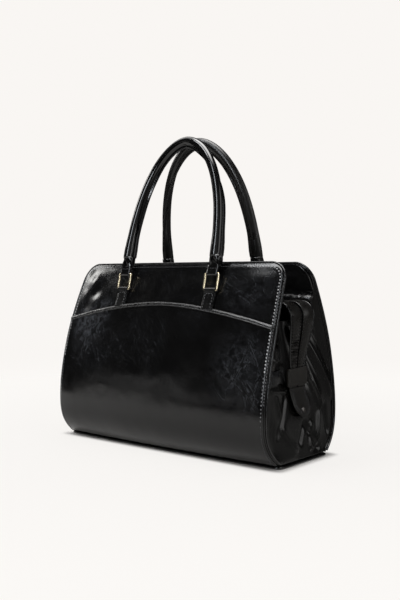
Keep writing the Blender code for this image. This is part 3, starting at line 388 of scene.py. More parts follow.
def leather(name, tone, paintedGlintColour, roughness=0.19, wisps=1.0, coat=0.0, coatRoughness=0.12,
            bump=0.00022, strength=0.5):
    material, tree, shader = newMaterial(name)
    group = addNode(tree, "ShaderNodeGroup", node_tree=creasedSurface)
    tree.links.new(coordinatesOf(tree), group.inputs["Coordinates"])
    setInputs(group, {"Painted Glints": wisps, "Roughness": roughness, "Tone": (*tone, 1.0),
                      "Painted Glint Tone": (*paintedGlintColour, 1.0)})
    putRelief(tree, shader, group.outputs["Height"], strength, bump)
    tree.links.new(group.outputs["Colour"], shader.inputs["Base Color"])
    tree.links.new(group.outputs["Roughness"], shader.inputs["Roughness"])
    setInputs(shader, {"IOR": 1.47, "Coat Weight": coat, "Coat Roughness": coatRoughness})
    return material


def black(name, **look):
    return leather(name, blackTone, paintedGlintTone, **look)


def metal(name, colour, roughness, scratch=260.0):
    material, tree, shader = newMaterial(name)
    place = coordinatesOf(tree)
    cloud = noiseNode(tree, place, scratch, 4.0, 0.6, 0.4)
    tone = blendColour(tree, ramp(tree, cloud, 0.3, 0.7), tuple(c * 0.86 for c in colour), colour)
    tree.links.new(tone, shader.inputs["Base Color"])
    tree.links.new(ramp(tree, cloud, 0.3, 0.7, roughness - 0.05, roughness + 0.08), shader.inputs["Roughness"])
    putRelief(tree, shader, noiseNode(tree, place, 1500.0, 2.0), 0.12, 0.00005)
    shader.inputs["Metallic"].default_value = 1.0
    return material


def cloth(name, colour, threads, roughness=0.85, sheen=0.15, source="UV"):
    material, tree, shader = newMaterial(name)
    group = addNode(tree, "ShaderNodeGroup", node_tree=plainWeave)
    tree.links.new(coordinatesOf(tree, source), group.inputs["Coordinates"])
    group.inputs["Threads"].default_value = threads
    dark = tuple(c * 0.6 for c in colour)
    tree.links.new(blendColour(tree, group.outputs["Shade"], dark, colour), shader.inputs["Base Color"])
    putRelief(tree, shader, group.outputs["Height"], 0.6, 0.00025)
    setInputs(shader, {"Roughness": roughness, "Sheen Weight": sheen})
    return material


def threadMaterial(name, colour, shine=0.3):
    material, tree, shader = newMaterial(name)
    place = coordinatesOf(tree)
    cloud = ramp(tree, noiseNode(tree, place, 420.0, 2.0), 0.3, 0.7)
    tone = blendColour(tree, cloud, tuple(c * 0.7 for c in colour), colour)
    tree.links.new(tone, shader.inputs["Base Color"])
    putRelief(tree, shader, noiseNode(tree, place, 4200.0, 1.0), 0.5, 0.0001)
    setInputs(shader, {"Roughness": 0.6, "Specular IOR Level": shine})
    return material


# the leather's own colour, and the lighter colour of its painted glints and sheen
blackTone = (0.0022, 0.0022, 0.0023)
paintedGlintTone = (0.110, 0.118, 0.135)
finishes = {
    "panel": black("blackPanelLeather", roughness=0.145, bump=0.00026),
    "soft": black("blackSoftLeather", roughness=0.22, wisps=0.35, coat=0.2, bump=0.00030),
    "roll": black("blackRollLeather", roughness=0.12, wisps=0.1, coat=0.3, coatRoughness=0.06, bump=0.00004),
    "edge": black("blackEdgeLeather", roughness=0.22, wisps=0.25, coat=0.2),
    "band": black("blackBandLeather", roughness=0.24, wisps=0.3, coat=0.2, bump=0.00080, strength=0.8),
    # the back handle's leather is lighter and warmer than the front handle's: a painted satin sheen
    "paintedSheenRoll": leather("paintedSheenRollLeather", (0.0045, 0.0042, 0.0038), paintedGlintTone, 0.30, wisps=0.1, bump=0.00008),
    "gusset": leather("blackGussetLeather", (0.0022, 0.0021, 0.0019), paintedGlintTone, 0.19, wisps=0.12, bump=0.00012),
    "strap": leather("blackStrapLeather", (0.0060, 0.0054, 0.0047), paintedGlintTone, 0.30, wisps=0.1, bump=0.00025),
    "matt": leather("mattKeeperLeather", (0.0082, 0.0069, 0.0052), (0.02, 0.017, 0.013), 0.55, wisps=0.5),
    "thread": threadMaterial("greyThread", (0.62, 0.63, 0.65)),
    # darker copies of the grey thread: painted half shade and painted shade
    "halfShadedThread": threadMaterial("halfShadedThread", (0.20, 0.205, 0.215)),
    "shadedThread": threadMaterial("shadedThread", (0.06, 0.06, 0.065)),
    "blackThread": threadMaterial("blackThread", (0.005, 0.005, 0.0055), 0.0),
    "gold": metal("paleGold", (0.84, 0.72, 0.50), 0.20),
    "dark": metal("darkMetal", (0.16, 0.15, 0.145), 0.30),
    "lining": cloth("blackLiningCloth", (0.022, 0.020, 0.020), 1300.0),
    "tape": cloth("blackZipTape", (0.014, 0.013, 0.013), 1100.0, 0.8),
    "teeth": leather("zipTeethResin", (0.012, 0.012, 0.012), (0.02, 0.02, 0.02), 0.3, wisps=0.0, coat=0.2),
    "board": cloth("baseBoardFace", (0.10, 0.085, 0.065), 900.0, source="Object"),
    "cord": cloth("fillerCord", (0.36, 0.31, 0.24), 1500.0, source="Object"),
}
leathers = ("panel", "soft", "roll", "edge", "band", "paintedSheenRoll", "gusset", "strap")
threads = ("thread", "halfShadedThread", "shadedThread", "blackThread")
slots = {**dict.fromkeys(leathers + threads, "black_leather"), "matt": "matt_leather", "gold": "pale_gold",
         "lining": "lining_cloth", "tape": "zip_tape", "teeth": "zip_tape"}
print("materials ready")


def surface(across, along, place, size=(1.0, 1.0), closed=False, capped=False, outward=None):
    # a grid laid on place(u, v), u and v from 0 to 1; the map is in metres
    bm = bmesh.new()
    sheetMap = bm.loops.layers.uv.new("sheet")
    bmesh.ops.create_grid(bm, x_segments=across, y_segments=along, size=0.5)
    for face in bm.faces:
        for corner in face.loops:
            at = corner.vert.co
            corner[sheetMap].uv = ((at.x + 0.5) * size[0], (at.y + 0.5) * size[1])
    for vert in bm.verts:
        column = round((vert.co.x + 0.5) * across)
        row = round((vert.co.y + 0.5) * along)
        vert.co = place(column / across, row / along)
    if closed:
        bmesh.ops.remove_doubles(bm, verts=bm.verts, dist=0.000002)
    if capped:
        rim = [edge for edge in bm.edges if edge.is_boundary]
        bmesh.ops.holes_fill(bm, edges=rim, sides=0)
    if closed:
        bmesh.ops.recalc_face_normals(bm, faces=bm.faces)
    else:
        bm.normal_update()
        total = sum(face.normal.dot(outward(face.calc_center_median())) for face in bm.faces)
        if total < 0.0:
            bmesh.ops.reverse_faces(bm, faces=bm.faces)
    return bm


def piece(name, bm, body, finish, replaced=(), thickness=0.0, offset=-1.0, bevel=0.0, flat=False):
    mesh = bpy.data.meshes.new(name)
    bm.to_mesh(mesh)
    bm.free()
    item = bpy.data.objects.new(name, mesh)
    bpy.context.scene.collection.objects.link(item)
    mesh.materials.append(finishes[finish])
    if not flat:
        mesh.shade_smooth()
    if thickness:
        thicken = item.modifiers.new("thickness", "SOLIDIFY")
        thicken.thickness = thickness
        thicken.offset = offset
        thicken.use_even_offset = True
    if bevel:
        soften = item.modifiers.new("softEdge", "BEVEL")
        soften.width = bevel
        soften.segments = 3
        soften.limit_method = "ANGLE"
        soften.angle_limit = math.radians(50)
    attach(item, body)
    if replaced:
        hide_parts(*replaced)
    return item


def along(points, closed=False):
    # running length of a polyline
    total = [0.0]
    for before, after in zip(points, points[1:]):
        total.append(total[-1] + (after - before).length)
    if closed:
        total.append(total[-1] + (points[0] - points[-1]).length)
    return total


def tube(points, profile, closed=False, up=None, wobble=None):
    # profile points are (outward, across) pairs in metres; up gives the outward direction at each station
    count = len(points)
    frames = []
    for index, point in enumerate(points):
        before = points[(index - 1) % count] if closed else points[max(index - 1, 0)]
        after = points[(index + 1) % count] if closed else points[min(index + 1, count - 1)]
        ahead = (after - before).normalized()
        outward = up(index)
        outward = (outward - ahead * outward.dot(ahead)).normalized()
        frames.append((point, outward, ahead.cross(outward)))
    sides = len(profile)
    stations = count if closed else count - 1

    def place(u, v):
        index = round(v * stations)
        step = round(u * sides) % sides
        centre, outward, sideways = frames[index % count]
        p, q = profile[step]
        grow = wobble(step, index) if wobble else 1.0
        return centre + (outward * p + sideways * q) * grow

    lengths = along(points, closed)
    return surface(sides, stations, place, (0.04, lengths[-1]), closed=True, capped=not closed)


def circle(radius, sides=12, flatten=1.0):
    return [(radius * math.cos(math.tau * s / sides), radius * flatten * math.sin(math.tau * s / sides))
            for s in range(sides)]


def spotsAt(lengths, wanted):
    # for each wanted length: the stretch of the line that it falls in, and its share of that stretch
    found = []
    index = 0
    for length in wanted:
        while index < len(lengths) - 2 and lengths[index + 1] < length:
            index += 1
        span = lengths[index + 1] - lengths[index]
        found.append((index, (length - lengths[index]) / span if span else 0.0))
    return found


def pointsAt(points, lengths, wanted):
    return [points[index].lerp(points[index + 1], share) for index, share in spotsAt(lengths, wanted)]


def resample(points, spacing):
    lengths = along(points)
    count = max(int(round(lengths[-1] / spacing)), 1)
    return pointsAt(points, lengths, [lengths[-1] * step / count for step in range(count + 1)])


def roundedRectangle(halfX, halfY, corner, turn):
    # corners first at the upper right, a point every so many degrees
    outline = []
    for signX, signY, start in ((1, 1, 0), (-1, 1, 90), (-1, -1, 180), (1, -1, 270)):
        for angle in range(0, 91, turn):
            a = math.radians(start + angle)
            outline.append((signX * (halfX - corner) + corner * math.cos(a),
                            signY * (halfY - corner) + corner * math.sin(a)))
    return outline


def aimed(x, y, z):
    # the same outward direction for every face
    return lambda point: Vector((x, y, z))


def atEnd(place, end):
    # a point or direction of the right end, mirrored for the left one
    return Vector((end * place.x, place.y, place.z))


stitch = {"pitch": 0.0040, "length": 0.0023, "width": 0.00062, "lift": 0.00030, "slant": 0.10, "bend": 0.9}


def stitchTemplate():
    bm = bmesh.new()
    bmesh.ops.create_uvsphere(bm, u_segments=6, v_segments=5, radius=1.0)
    bmesh.ops.rotate(bm, verts=bm.verts, matrix=Matrix.Rotation(math.pi / 2, 3, "Y"))
    mesh = bpy.data.meshes.new("stitchTemplate")
    bm.to_mesh(mesh)
    bm.free()
    return mesh


oneStitch = stitchTemplate()


def stitches(name, rows, body, finish="thread", pitch=None, width=None):
    # each row is a list of (point, outward) pairs along a seam
    pitch = pitch or stitch["pitch"]
    width = width or stitch["width"]
    bm = bmesh.new()
    bm.loops.layers.uv.new("sheet")
    for row in rows:
        points = [Vector(pair[0]) for pair in row]
        lengths = along(points)
        count = int(lengths[-1] / pitch)
        rowMesh = bmesh.new()
        middles = [(step + 0.5) * lengths[-1] / count for step in range(count)]
        for index, share in spotsAt(lengths, middles):
            place = points[index].lerp(points[index + 1], share)
            outward = Vector(row[index][1]).lerp(Vector(row[index + 1][1]), share).normalized()
            ahead = (points[index + 1] - points[index]).normalized()
            sideways = outward.cross(ahead).normalized()
            ahead = (ahead + sideways * stitch["slant"]).normalized()
            sideways = outward.cross(ahead).normalized()
            turn = Matrix((ahead * stitch["length"] / 2, sideways * width, outward * width)).transposed()
            before = len(rowMesh.verts)
            rowMesh.from_mesh(oneStitch)
            rowMesh.verts.ensure_lookup_table()
            for vert in rowMesh.verts[before:]:
                sunk = vert.co.x * vert.co.x * width * stitch["bend"]
                vert.co = place + turn @ vert.co + outward * (stitch["lift"] - sunk)
        mesh = bpy.data.meshes.new(name + "Row")
        rowMesh.to_mesh(mesh)
        rowMesh.free()
        bm.from_mesh(mesh)
        bpy.data.meshes.remove(mesh)
    return piece(name, bm, body, finish)


def dent(x, z, side):
    # soft unevenness of a wall, none at its seams
    edge = min(halfLength(z) - abs(x), z, bag["height"] - z)
    mask = smooth(edge / panels["calmEdge"])
    spot = Vector((x, z, side * 0.4))
    value = panels["dent"] * noise.noise(spot * panels["dentScale"])
    value += panels["ripple"] * noise.noise(spot * panels["rippleScale"])
    value += panels["wave"] * noise.noise(Vector((x * panels["waveAlong"], z * panels["waveUp"], side + 3.0)))
    if side == front:
        for middle, height, reachX, reachZ, depth in frontDents:
            value -= depth * math.exp(-((x - middle) / reachX) ** 2 - ((z - height) / reachZ) ** 2)
    return value * mask - panels["seamRoll"] * (1.0 - smooth(edge / panels["seamReach"]))


def leatherPoint(x, z, side, depth=0.0):
    return skin(x, z, side, depth - dent(x, z, side))


# walls, facings, pocket
panels = {"columns": 120, "rows": 72, "cornerRows": 12, "dent": 0.0011, "dentScale": 15.0, "ripple": 0.00016,
          "rippleScale": 62.0, "wave": 0.0004, "waveAlong": 9.0, "waveUp": 34.0, "calmEdge": 0.022,
          "pipe": 0.0014, "pipeSeat": 0.8, "seamRoll": 0.0006, "seamReach": 0.0065}
# soft dents of the front wall: along, height, reach along, reach up, depth
frontDents = [(-0.158, 0.236, 0.013, 0.013, -0.0022), (-0.178, 0.216, 0.010, 0.009, -0.0014),
              (-0.142, 0.208, 0.020, 0.010, -0.0016), (-0.120, 0.256, 0.026, 0.006, -0.0009),
              (0.150, 0.246, 0.020, 0.012, -0.0007), (-0.170, 0.252, 0.008, 0.010, 0.0010),
              (-0.150, 0.222, 0.009, 0.008, 0.0012), (-0.166, 0.200, 0.012, 0.007, 0.0009)]


def wallLevels(rows, cornerRows, low=0.0):
    levels = [between(low, cornerStart, row / rows) for row in range(rows + 1)]
    return levels + [cornerStart + bag["corner"] * math.sin(math.pi / 2 * step / cornerRows)
                     for step in range(1, cornerRows + 1)]


def makeWall(side):
    levels = wallLevels(panels["rows"], panels["cornerRows"])
    last = len(levels) - 1

    def place(u, v):
        z = levels[round(v * last)]
        return leatherPoint((2 * u - 1) * edgeHalfLength(z), z, side)

    bm = surface(panels["columns"], last, place, (0.39, 0.27), outward=aimed(0, side, 0))
    name = sideNames[side]
    piece(name + "Wall", bm, "bag", "panel", [name + "_panel"], bag["wall"])


facing = {"columns": 90, "rows": 22, "cornerRows": 8, "depth": 0.0620, "edge": 0.0037, "wave": 0.0016}


def facingDepth(x, z):
    # the facing stands off the wall in long soft waves towards the bag's ends
    ends = smooth((abs(x) - 0.06) / 0.10)
    edge = min(halfLength(z) - abs(x), bag["height"] - z)
    mask = smooth((edge - 0.004) / 0.016)
    wave = 0.5 + 0.5 * math.sin((z - 0.203) / 0.062 * math.tau * 1.1 + 0.8)
    return facing["wave"] * mask * wave * (0.25 + 0.75 * ends)


def makeFacing(side):
    low = bag["height"] - facing["depth"]
    levels = wallLevels(facing["rows"], facing["cornerRows"], low)
    last = len(levels) - 1

    def place(u, v):
        z = levels[round(v * last)]
        x = (2 * u - 1) * (edgeHalfLength(z) - facing["edge"])
        return skin(x, z, side, facingLayer + facingDepth(x, z) + bag["facing"])

    bm = surface(facing["columns"], last, place, (0.37, 0.062), outward=aimed(0, -side, 0))
    name = sideNames[side]
    piece(name + "Facing", bm, "bag", "soft", [name + "_facing"], bag["facing"])


pocket = {"middle": 0.2060, "rise": 0.0280, "power": 1.75, "edge": 0.0010, "foot": 0.0020, "thickness": 0.0018,
          "columns": 124, "rows": 84, "bandHalf": 0.0030, "bandLift": 0.0006, "bandThick": 0.0021,
          "bandTurn": (4.0, 12.0), "bandOut": 0.0015, "bandEnd": 0.0012, "bandSteps": 150, "bandSides": 36,
          "rowDrop": 0.0012, "rowEnd": 0.006, "rowSteps": 120, "rowPitch": 0.0040, "rowWidth": 0.00034}


def pocketHeight(x):
    return pocket["middle"] - pocket["rise"] * abs(x / bag["halfLength"]) ** pocket["power"]


def makePocket():
    last = pocket["rows"]
    halfTop = halfLength(pocket["middle"] - pocket["rise"]) - pocket["edge"]

    def place(u, v):
        share = 2 * u - 1
        z = between(pocket["foot"], pocketHeight(share * halfTop), v)
        x = share * (halfLength(z) - pocket["edge"])
        return leatherPoint(x, z, front, -bag["layerGap"] - pocket["thickness"])

    bm = surface(pocket["columns"], last, place, (0.39, 0.2), outward=aimed(0, front, 0))
    piece("frontPocket", bm, "bag", "panel", ["front_pocket_panel"], pocket["thickness"])
    # folded band that binds the top edge
    points = []
    normals = []
    steps = pocket["bandSteps"]
    for step in range(steps + 1):
        x = (2 * step / steps - 1) * (halfTop - pocket["bandEnd"])
        z = pocketHeight(x) + pocket["bandLift"]
        points.append(leatherPoint(x, z, front, -bag["layerGap"] - pocket["bandOut"]))
        turn = math.radians(between(*pocket["bandTurn"], step / steps))
        normals.append(skinNormal(x, z, front) * math.cos(turn) + Vector((0.0, 0.0, math.sin(turn))))
    profile = []
    for step in range(pocket["bandSides"]):
        a = math.tau * step / pocket["bandSides"]
        out = math.cos(a)
        up = math.sin(a)
        groove = 1.0 - 0.34 * math.exp(-((up - 0.42) / 0.15) ** 2) if out > 0.0 else 1.0
        profile.append((pocket["bandThick"] * groove * math.copysign(abs(out) ** 0.45, out),
                        pocket["bandHalf"] * math.copysign(abs(up) ** 0.85, up)))

    def wobble(step, index):
        fine = 0.05 * noise.noise(Vector((index * 0.75, step * 0.7, 2.0)))
        return 1.0 + fine + 0.07 * noise.noise(Vector((index * 0.16, step * 0.2, 5.0)))

    piece("pocketBand", tube(points, profile, up=lambda index: normals[index], wobble=wobble),
          "bag", "band", ["pocket_binding"])


wallRow = {"inset": 0.0046, "lightFrom": 0.125, "dimFrom": 0.062, "topLight": 0.130, "pitch": 0.0046,
           "width": 0.00085, "lowest": 0.002, "steps": 70, "cornerSteps": 16, "topSteps": 110,
           "edgeInset": 0.0010, "edgeFrom": 0.085, "edgeTo": 0.237, "edgeWidth": 0.00040}


def overTop(line, steps):
    # a line up the right end, carried along the top and mirrored down the left end
    half, z = line[-1]
    across = [(half * (1 - 2 * step / steps), z) for step in range(1, steps)]
    return line + across + [(-x, level) for x, level in reversed(line)]


def seamRow(side, inset):
    # stitching inside a wall's piped edge
    line = []
    for step in range(wallRow["steps"] + 1):
        z = between(wallRow["lowest"], cornerStart, step / wallRow["steps"])
        line.append((halfLength(z) - inset, z))
    radius = bag["corner"] - inset
    for step in range(1, wallRow["cornerSteps"] + 1):
        a = math.pi / 2 * step / wallRow["cornerSteps"]
        z = cornerStart + radius * math.sin(a)
        line.append((halfLength(z) - inset - radius * (1 - math.cos(a)), z))
    rows = []
    for x, level in overTop(line, wallRow["topSteps"]):
        covered = side == front and level < pocketHeight(x) + 0.002
        depth = -bag["layerGap"] - pocket["thickness"] if covered else 0.0
        rows.append((leatherPoint(x, level, side, depth), skinNormal(x, level, side)))
    return rows


def makeWallStitches(side):
    # the thread is painted lighter where the light falls on it and darker where it lies in shade: lit and shaded
    # copies of one thread
    name = sideNames[side]
    row = seamRow(side, wallRow["inset"])

    def uprights(row, low, high, near=0.0):
        return [[pair for pair in row if pair[0].x * end > near and low < pair[0].z <= high]
                for end in endNames]

    light = uprights(row, wallRow["lightFrom"], math.inf, wallRow["topLight"])
    middle = uprights(row, wallRow["dimFrom"], wallRow["lightFrom"])
    lower = uprights(row, -math.inf, wallRow["dimFrom"])
    top = [pair for pair in row if abs(pair[0].x) <= wallRow["topLight"] and pair[0].z > cornerStart]
    edges = uprights(seamRow(side, wallRow["edgeInset"]), wallRow["edgeFrom"], wallRow["edgeTo"])
    coarse = {"pitch": wallRow["pitch"], "width": wallRow["width"]}
    stitches(name + "WallStitches", light, "bag", **coarse)
    stitches(name + "MiddleStitches", middle, "bag", "halfShadedThread", **coarse)
    stitches(name + "LowerStitches", lower, "bag", "shadedThread")
    stitches(name + "TopStitches", [top], "bag", "shadedThread")
    stitches(name + "EdgeStitches", edges, "bag", "halfShadedThread", width=wallRow["edgeWidth"])


def makePocketStitches():
    halfTop = halfLength(pocket["middle"] - pocket["rise"]) - pocket["rowEnd"]
    out = bag["layerGap"] + pocket["bandOut"] + pocket["bandThick"] * 0.93
    row = []
    for step in range(pocket["rowSteps"] + 1):
        x = (2 * step / pocket["rowSteps"] - 1) * halfTop
        z = pocketHeight(x) - pocket["rowDrop"]
        row.append((leatherPoint(x, z, front, -out), skinNormal(x, z, front)))
    stitches("pocketStitches", [row], "bag", "shadedThread", pocket["rowPitch"], pocket["rowWidth"])


piping = {"rows": 65, "cornerSteps": 14, "topSteps": 90, "uneven": 0.05, "baseSpacing": 0.004, "baseSides": 10}


def makeEdgePiping(side):
    grow = bag["touchGap"] + panels["pipe"]
    depth = bag["wall"] * panels["pipeSeat"]
    lowest = panels["pipe"] + bag["touchGap"]
    levels = [between(lowest, cornerStart, row / piping["rows"]) for row in range(piping["rows"] + 1)]
    for step in range(1, piping["cornerSteps"] + 1):
        levels.append(cornerStart + (bag["corner"] + grow) * math.sin(math.pi / 2 * step / piping["cornerSteps"]))
    whole = overTop([(edgeHalfLength(z, grow), z) for z in levels], piping["topSteps"])
    points = [skin(x, z, side, depth) for x, z in whole]
    normals = [skinNormal(x, z, side) for x, z in whole]

    def wobble(step, index):
        return 1.0 + piping["uneven"] * noise.noise(Vector((index * 0.35, step * 0.3, side * 2.0)))

    name = sideNames[side]
    bm = tube(points, circle(panels["pipe"]), up=lambda index: normals[index], wobble=wobble)
    piece(name + "EdgePiping", bm, "bag", "edge", [name + "_edge_piping"])


def footOutline(inset, cornerSteps=8, straightSteps=60):
    radius = 0.0060 - min(inset, 0.0)
    half = halfLength(0.0) - inset
    straight = half - radius
    xs = [straight * (2 * step / straightSteps - 1) for step in range(straightSteps + 1)]
    ends = [straight + radius * math.sin(math.pi / 2 * step / cornerSteps) for step in range(1, cornerSteps + 1)]
    xs = [-x for x in reversed(ends)] + xs + ends
    near = []
    for x in xs:
        past = max(abs(x) - straight, 0.0)
        pulled = radius - math.sqrt(max(radius * radius - past * past, 0.0))
        near.append((x, -(wallDepth(x, 0.0) - inset - pulled)))
    return near + [(x, -y) for x, y in reversed(near)]


def makeBasePiping():
    radius = panels["pipe"]
    corners = footOutline(-radius)
    outline = [Vector((x, y, bag["layerGap"] + radius)) for x, y in corners + corners[:1]]
    points = resample(outline, piping["baseSpacing"])[:-1]
    bm = tube(points, circle(radius, piping["baseSides"]), closed=True, up=lambda index: Vector((0.0, 0.0, 1.0)))
    piece("basePiping", bm, "bag", "edge", ["base_piping"])


for side in (front, back):
    makeWall(side)
    makeFacing(side)
    makeEdgePiping(side)
    makeWallStitches(side)
makePocket()
makePocketStitches()
makeBasePiping()
print("walls ready")

# end panels: folded leather
gusset = {"columns": 96, "rows": 120, "crumple": 0.0018, "crumpleScale": 15.0, "pucker": 0.0005,
          "puckerAcross": 160.0, "puckerUp": 24.0,
          # edges and reaches of the calm places round the keeper, its strap and the tab
          "keeperSide": (0.022, 0.008), "keeperUp": (0.013, 0.006), "strapHeight": 0.1185, "strapFrom": -0.015,
          "strapUp": (0.011, 0.005), "tabSide": (0.018, 0.008), "tabTop": (0.104, 0.010), "tabFoot": (0.050, 0.012)}
keeper = {"height": 0.1160, "tall": 0.0240, "wall": 0.0015, "strapTall": 0.0190, "strap": 0.0014,
          "standOff": 0.0012, "corner": 0.0024}
# creases as (y, height) to (y, height), lift in metres, reach in metres
gussetCreases = [
    (0.010, 0.178, 0.050, 0.072, 0.0052, 0.0085),
    (0.024, 0.176, 0.079, 0.078, 0.0060, 0.0100),
    (0.036, 0.190, 0.074, 0.120, -0.0040, 0.0080),
    (0.030, 0.112, 0.052, 0.066, 0.0034, 0.0050),
    (-0.074, 0.103, -0.026, 0.097, 0.0030, 0.0042),
    (-0.070, 0.142, -0.036, 0.137, 0.0048, 0.0060),
    (-0.066, 0.156, -0.034, 0.158, -0.0050, 0.0080),
    (-0.058, 0.094, -0.048, 0.066, 0.0024, 0.0060),
    (-0.030, 0.092, -0.056, 0.040, -0.0026, 0.0080),
    (0.010, 0.052, 0.040, 0.012, -0.0048, 0.0070),
    (0.010, 0.052, -0.004, 0.024, -0.0030, 0.0060),
    (0.026, 0.050, 0.020, 0.014, 0.0030, 0.0050),
    (0.048, 0.062, 0.036, 0.016, 0.0036, 0.0070),
    (-0.046, 0.052, -0.012, 0.018, 0.0024, 0.0090),
    (0.060, 0.070, 0.068, 0.030, -0.0030, 0.0060),
]


def nearSegment(y, z, y0, z0, y1, z1):
    dy, dz = y1 - y0, z1 - z0
    length = dy * dy + dz * dz
    share = ((y - y0) * dy + (z - z0) * dz) / length
    held = min(max(share, 0.0), 1.0)
    away = math.hypot(y - y0 - dy * held, z - z0 - dz * held)
    return away, share


def past(value, edge, reach):
    # 0 up to an edge, 1 from a reach beyond it
    return smooth((value - edge) / reach)


def gussetRelief(y, height, share, end):
    total = 0.0
    for y0, z0, y1, z1, lift, reach in gussetCreases:
        away, travelled = nearSegment(y, height, y0, z0, y1, z1)
        if away > reach * 3.2:
            continue
        fade = smooth(min(travelled, 1.0 - travelled) * 3.0 + 0.55)
        ridge = 1.0 / (1.0 + (away / (reach * 0.55)) ** 2) - 0.03
        total += lift * max(ridge, 0.0) * fade
    spot = Vector((end * 2.0, y, height))
    low = 1.0 - past(height, 0.055, 0.06)
    ridged = 1.0 - math.hypot(noise.noise(spot * gusset["crumpleScale"]), 0.12) * 2.2
    total += gusset["crumple"] * (ridged - 0.6) * (0.35 + 0.65 * low)
    gathered = noise.noise(Vector((end * 5.0, y * gusset["puckerAcross"], height * gusset["puckerUp"])))
    total += gusset["pucker"] * gathered * past(abs(share), 0.6, 0.3)
    total *= smooth((1.0 - abs(share)) / 0.13) * past(height, bag["footRise"] + bag["layerGap"], 0.008)
    # room for the keeper, its strap and the tab
    total *= max(past(abs(y), *gusset["keeperSide"]), past(abs(height - keeper["height"]), *gusset["keeperUp"]))
    if y < gusset["strapFrom"]:
        total *= past(abs(height - gusset["strapHeight"]), *gusset["strapUp"])
    if total > 0.0:
        onTab = (1.0 - past(abs(y), *gusset["tabSide"])) * (1.0 - past(height, *gusset["tabTop"]))
        total *= 1.0 - onTab * past(height, *gusset["tabFoot"])
    return total


endLevels = {"lowest": 0.003, "step": 0.00125, "count": 200}
levelsOfEnd = [endLevels["lowest"] + endLevels["step"] * step for step in range(endLevels["count"])]
depthOfEnd = [depthAt(edgeHalfLength(level - bag["footRise"]), level, facingLayer + bag["gusset"] / 2)
              for level in levelsOfEnd if level < topHeight - 0.002]


def endDepth(height):
    place = min(max((height - endLevels["lowest"]) / endLevels["step"], 0.0), len(depthOfEnd) - 1.001)
    index = int(place)
    return between(depthOfEnd[index], depthOfEnd[index + 1], place - index)


def gussetPoint(end, share, height):
    half = endDepth(height)
    relief = gussetRelief(share * half, height, share, end)
    return Vector((end * (gussetX(share, height) + relief), share * half, height))


def makeGusset(end):
    foot = bag["footRise"] + bag["layerGap"]

    def place(u, v):
        share = 2 * u - 1
        return gussetPoint(end, share, foot + (gussetTop(share) - foot) * v)

    bm = surface(gusset["columns"], gusset["rows"], place, (0.19, 0.24), outward=aimed(end, 0, 0))
    name = endNames[end]
    piece(name + "Gusset", bm, "bag", "gusset", [name + "_gusset"], bag["gusset"])


# recessed zip closure
closure = {"drop": 0.0540, "flange": 0.0016, "span": 0.1340, "slot": 0.0060, "limit": 0.1720, "tooth": 0.0029,
           "tape": 0.0008, "tapeReach": 0.0110, "gap": 0.0012, "chain": 0.0020, "swell": 0.0009,
           "rows": (0.0022, 0.0052)}
closureHeight = topHeight - closure["drop"]
tapeHeight = closureHeight - bag["touchGap"] - closure["tape"] / 2
zipEnd = {"thickness": 0.0020, "outerX": 0.1960, "radius": 0.0200, "tip": 0.0615, "tabHalf": 0.0190,
          "standOut": 0.0045, "halfArch": 0.0300, "halfNeck": 0.0160, "slot": 0.0028, "slotLength": 0.0380,
          "slotTaper": 0.0200, "rib": 0.0030, "ribRise": 0.00190, "shift": 0.0052, "lean": 0.0080,
          "gatherFrom": 20, "gatherLap": 0.0022, "groove": 0.0030, "grooveHalf": 0.0022, "slotSeam": 0.0020,
          "rimSeam": 0.0034, "seamWidth": 0.00040, "rims": {-1: 0.0013, 1: 0.0017}}
zipLevel = closureHeight + zipEnd["thickness"] / 2
keeperTop = keeper["height"] + keeper["tall"] / 2
keeperFoot = keeper["height"] - keeper["tall"] / 2
keeperX = (max(gussetX(0.45, keeperFoot), gussetX(0.0, keeper["height"])) + 2 * bag["layerGap"] + keeper["wall"]
           + zipEnd["thickness"] / 2)


def closureEdge(x, thickness):
    return depthAt(x, closureHeight + thickness, liningLayer)


def makeFlange(side):
    edges = {}

    def place(u, v):
        x = (2 * u - 1) * closure["span"]
        key = round(u * 90)
        if key not in edges:
            edges[key] = closureEdge(x, closure["flange"])
        y = between(edges[key], closure["slot"], v)
        uneven = 0.5 + 0.5 * noise.noise(Vector((x * 22, v * 1.4, side)))
        rise = closure["swell"] * smooth(v * 3) * smooth((1 - v) * 4) * uneven
        return Vector((x, side * y, closureHeight + closure["flange"] + rise))

    bm = surface(90, 14, place, (0.27, 0.05), outward=aimed(0, 0, 1))
    name = sideNames[side]
    piece(name + "ZipFlange", bm, name + "_flap", "soft", [name + "_zip_flange"], closure["flange"], bevel=0.0005)
    up = Vector((0.0, 0.0, 1.0))
    top = closureHeight + closure["flange"]
    rows = [[(Vector((x * 0.01 * closure["span"], side * (closure["slot"] + inset), top)), up)
             for x in range(-99, 100)] for inset in closure["rows"]]
    stitches(name + "FlangeStitches", rows, name + "_flap")


def makeTape(name, low, high, side, body, replaced):
    def place(u, v):
        y = between(closure["gap"] + 0.0006, closure["tapeReach"], v)
        return Vector((between(low, high, u), side * y, tapeHeight + closure["tape"] / 2))

    bm = surface(max(int((high - low) / 0.004), 4), 4, place, (high - low, 0.01), outward=aimed(0, 0, 1))
    piece(name, bm, body, "tape", replaced, closure["tape"])
    # moulded teeth, set half a pitch apart on the two sides
    bm = bmesh.new()
    bm.loops.layers.uv.new("sheet")
    halfChain = closure["chain"] / 2
    count = int((high - low - 0.001) / closure["tooth"])
    start = (low + high - count * closure["tooth"]) / 2 + (closure["tooth"] / 4 if side == back else 0.0)
    for step in range(count):
        x = start + (step + 0.5) * closure["tooth"]
        middle = side * (closure["gap"] + halfChain - 0.0004)
        size = Matrix.Diagonal((closure["tooth"] * 0.30, halfChain + 0.0006, halfChain, 1.0))
        shape = Matrix.Translation((x, middle, tapeHeight)) @ size
        made = bmesh.ops.create_uvsphere(bm, u_segments=8, v_segments=4, radius=1.15, matrix=shape)
        for vert in made["verts"]:
            vert.co.z = min(max(vert.co.z, tapeHeight - halfChain), tapeHeight + halfChain)
    piece(name + "Teeth", bm, body, "teeth")


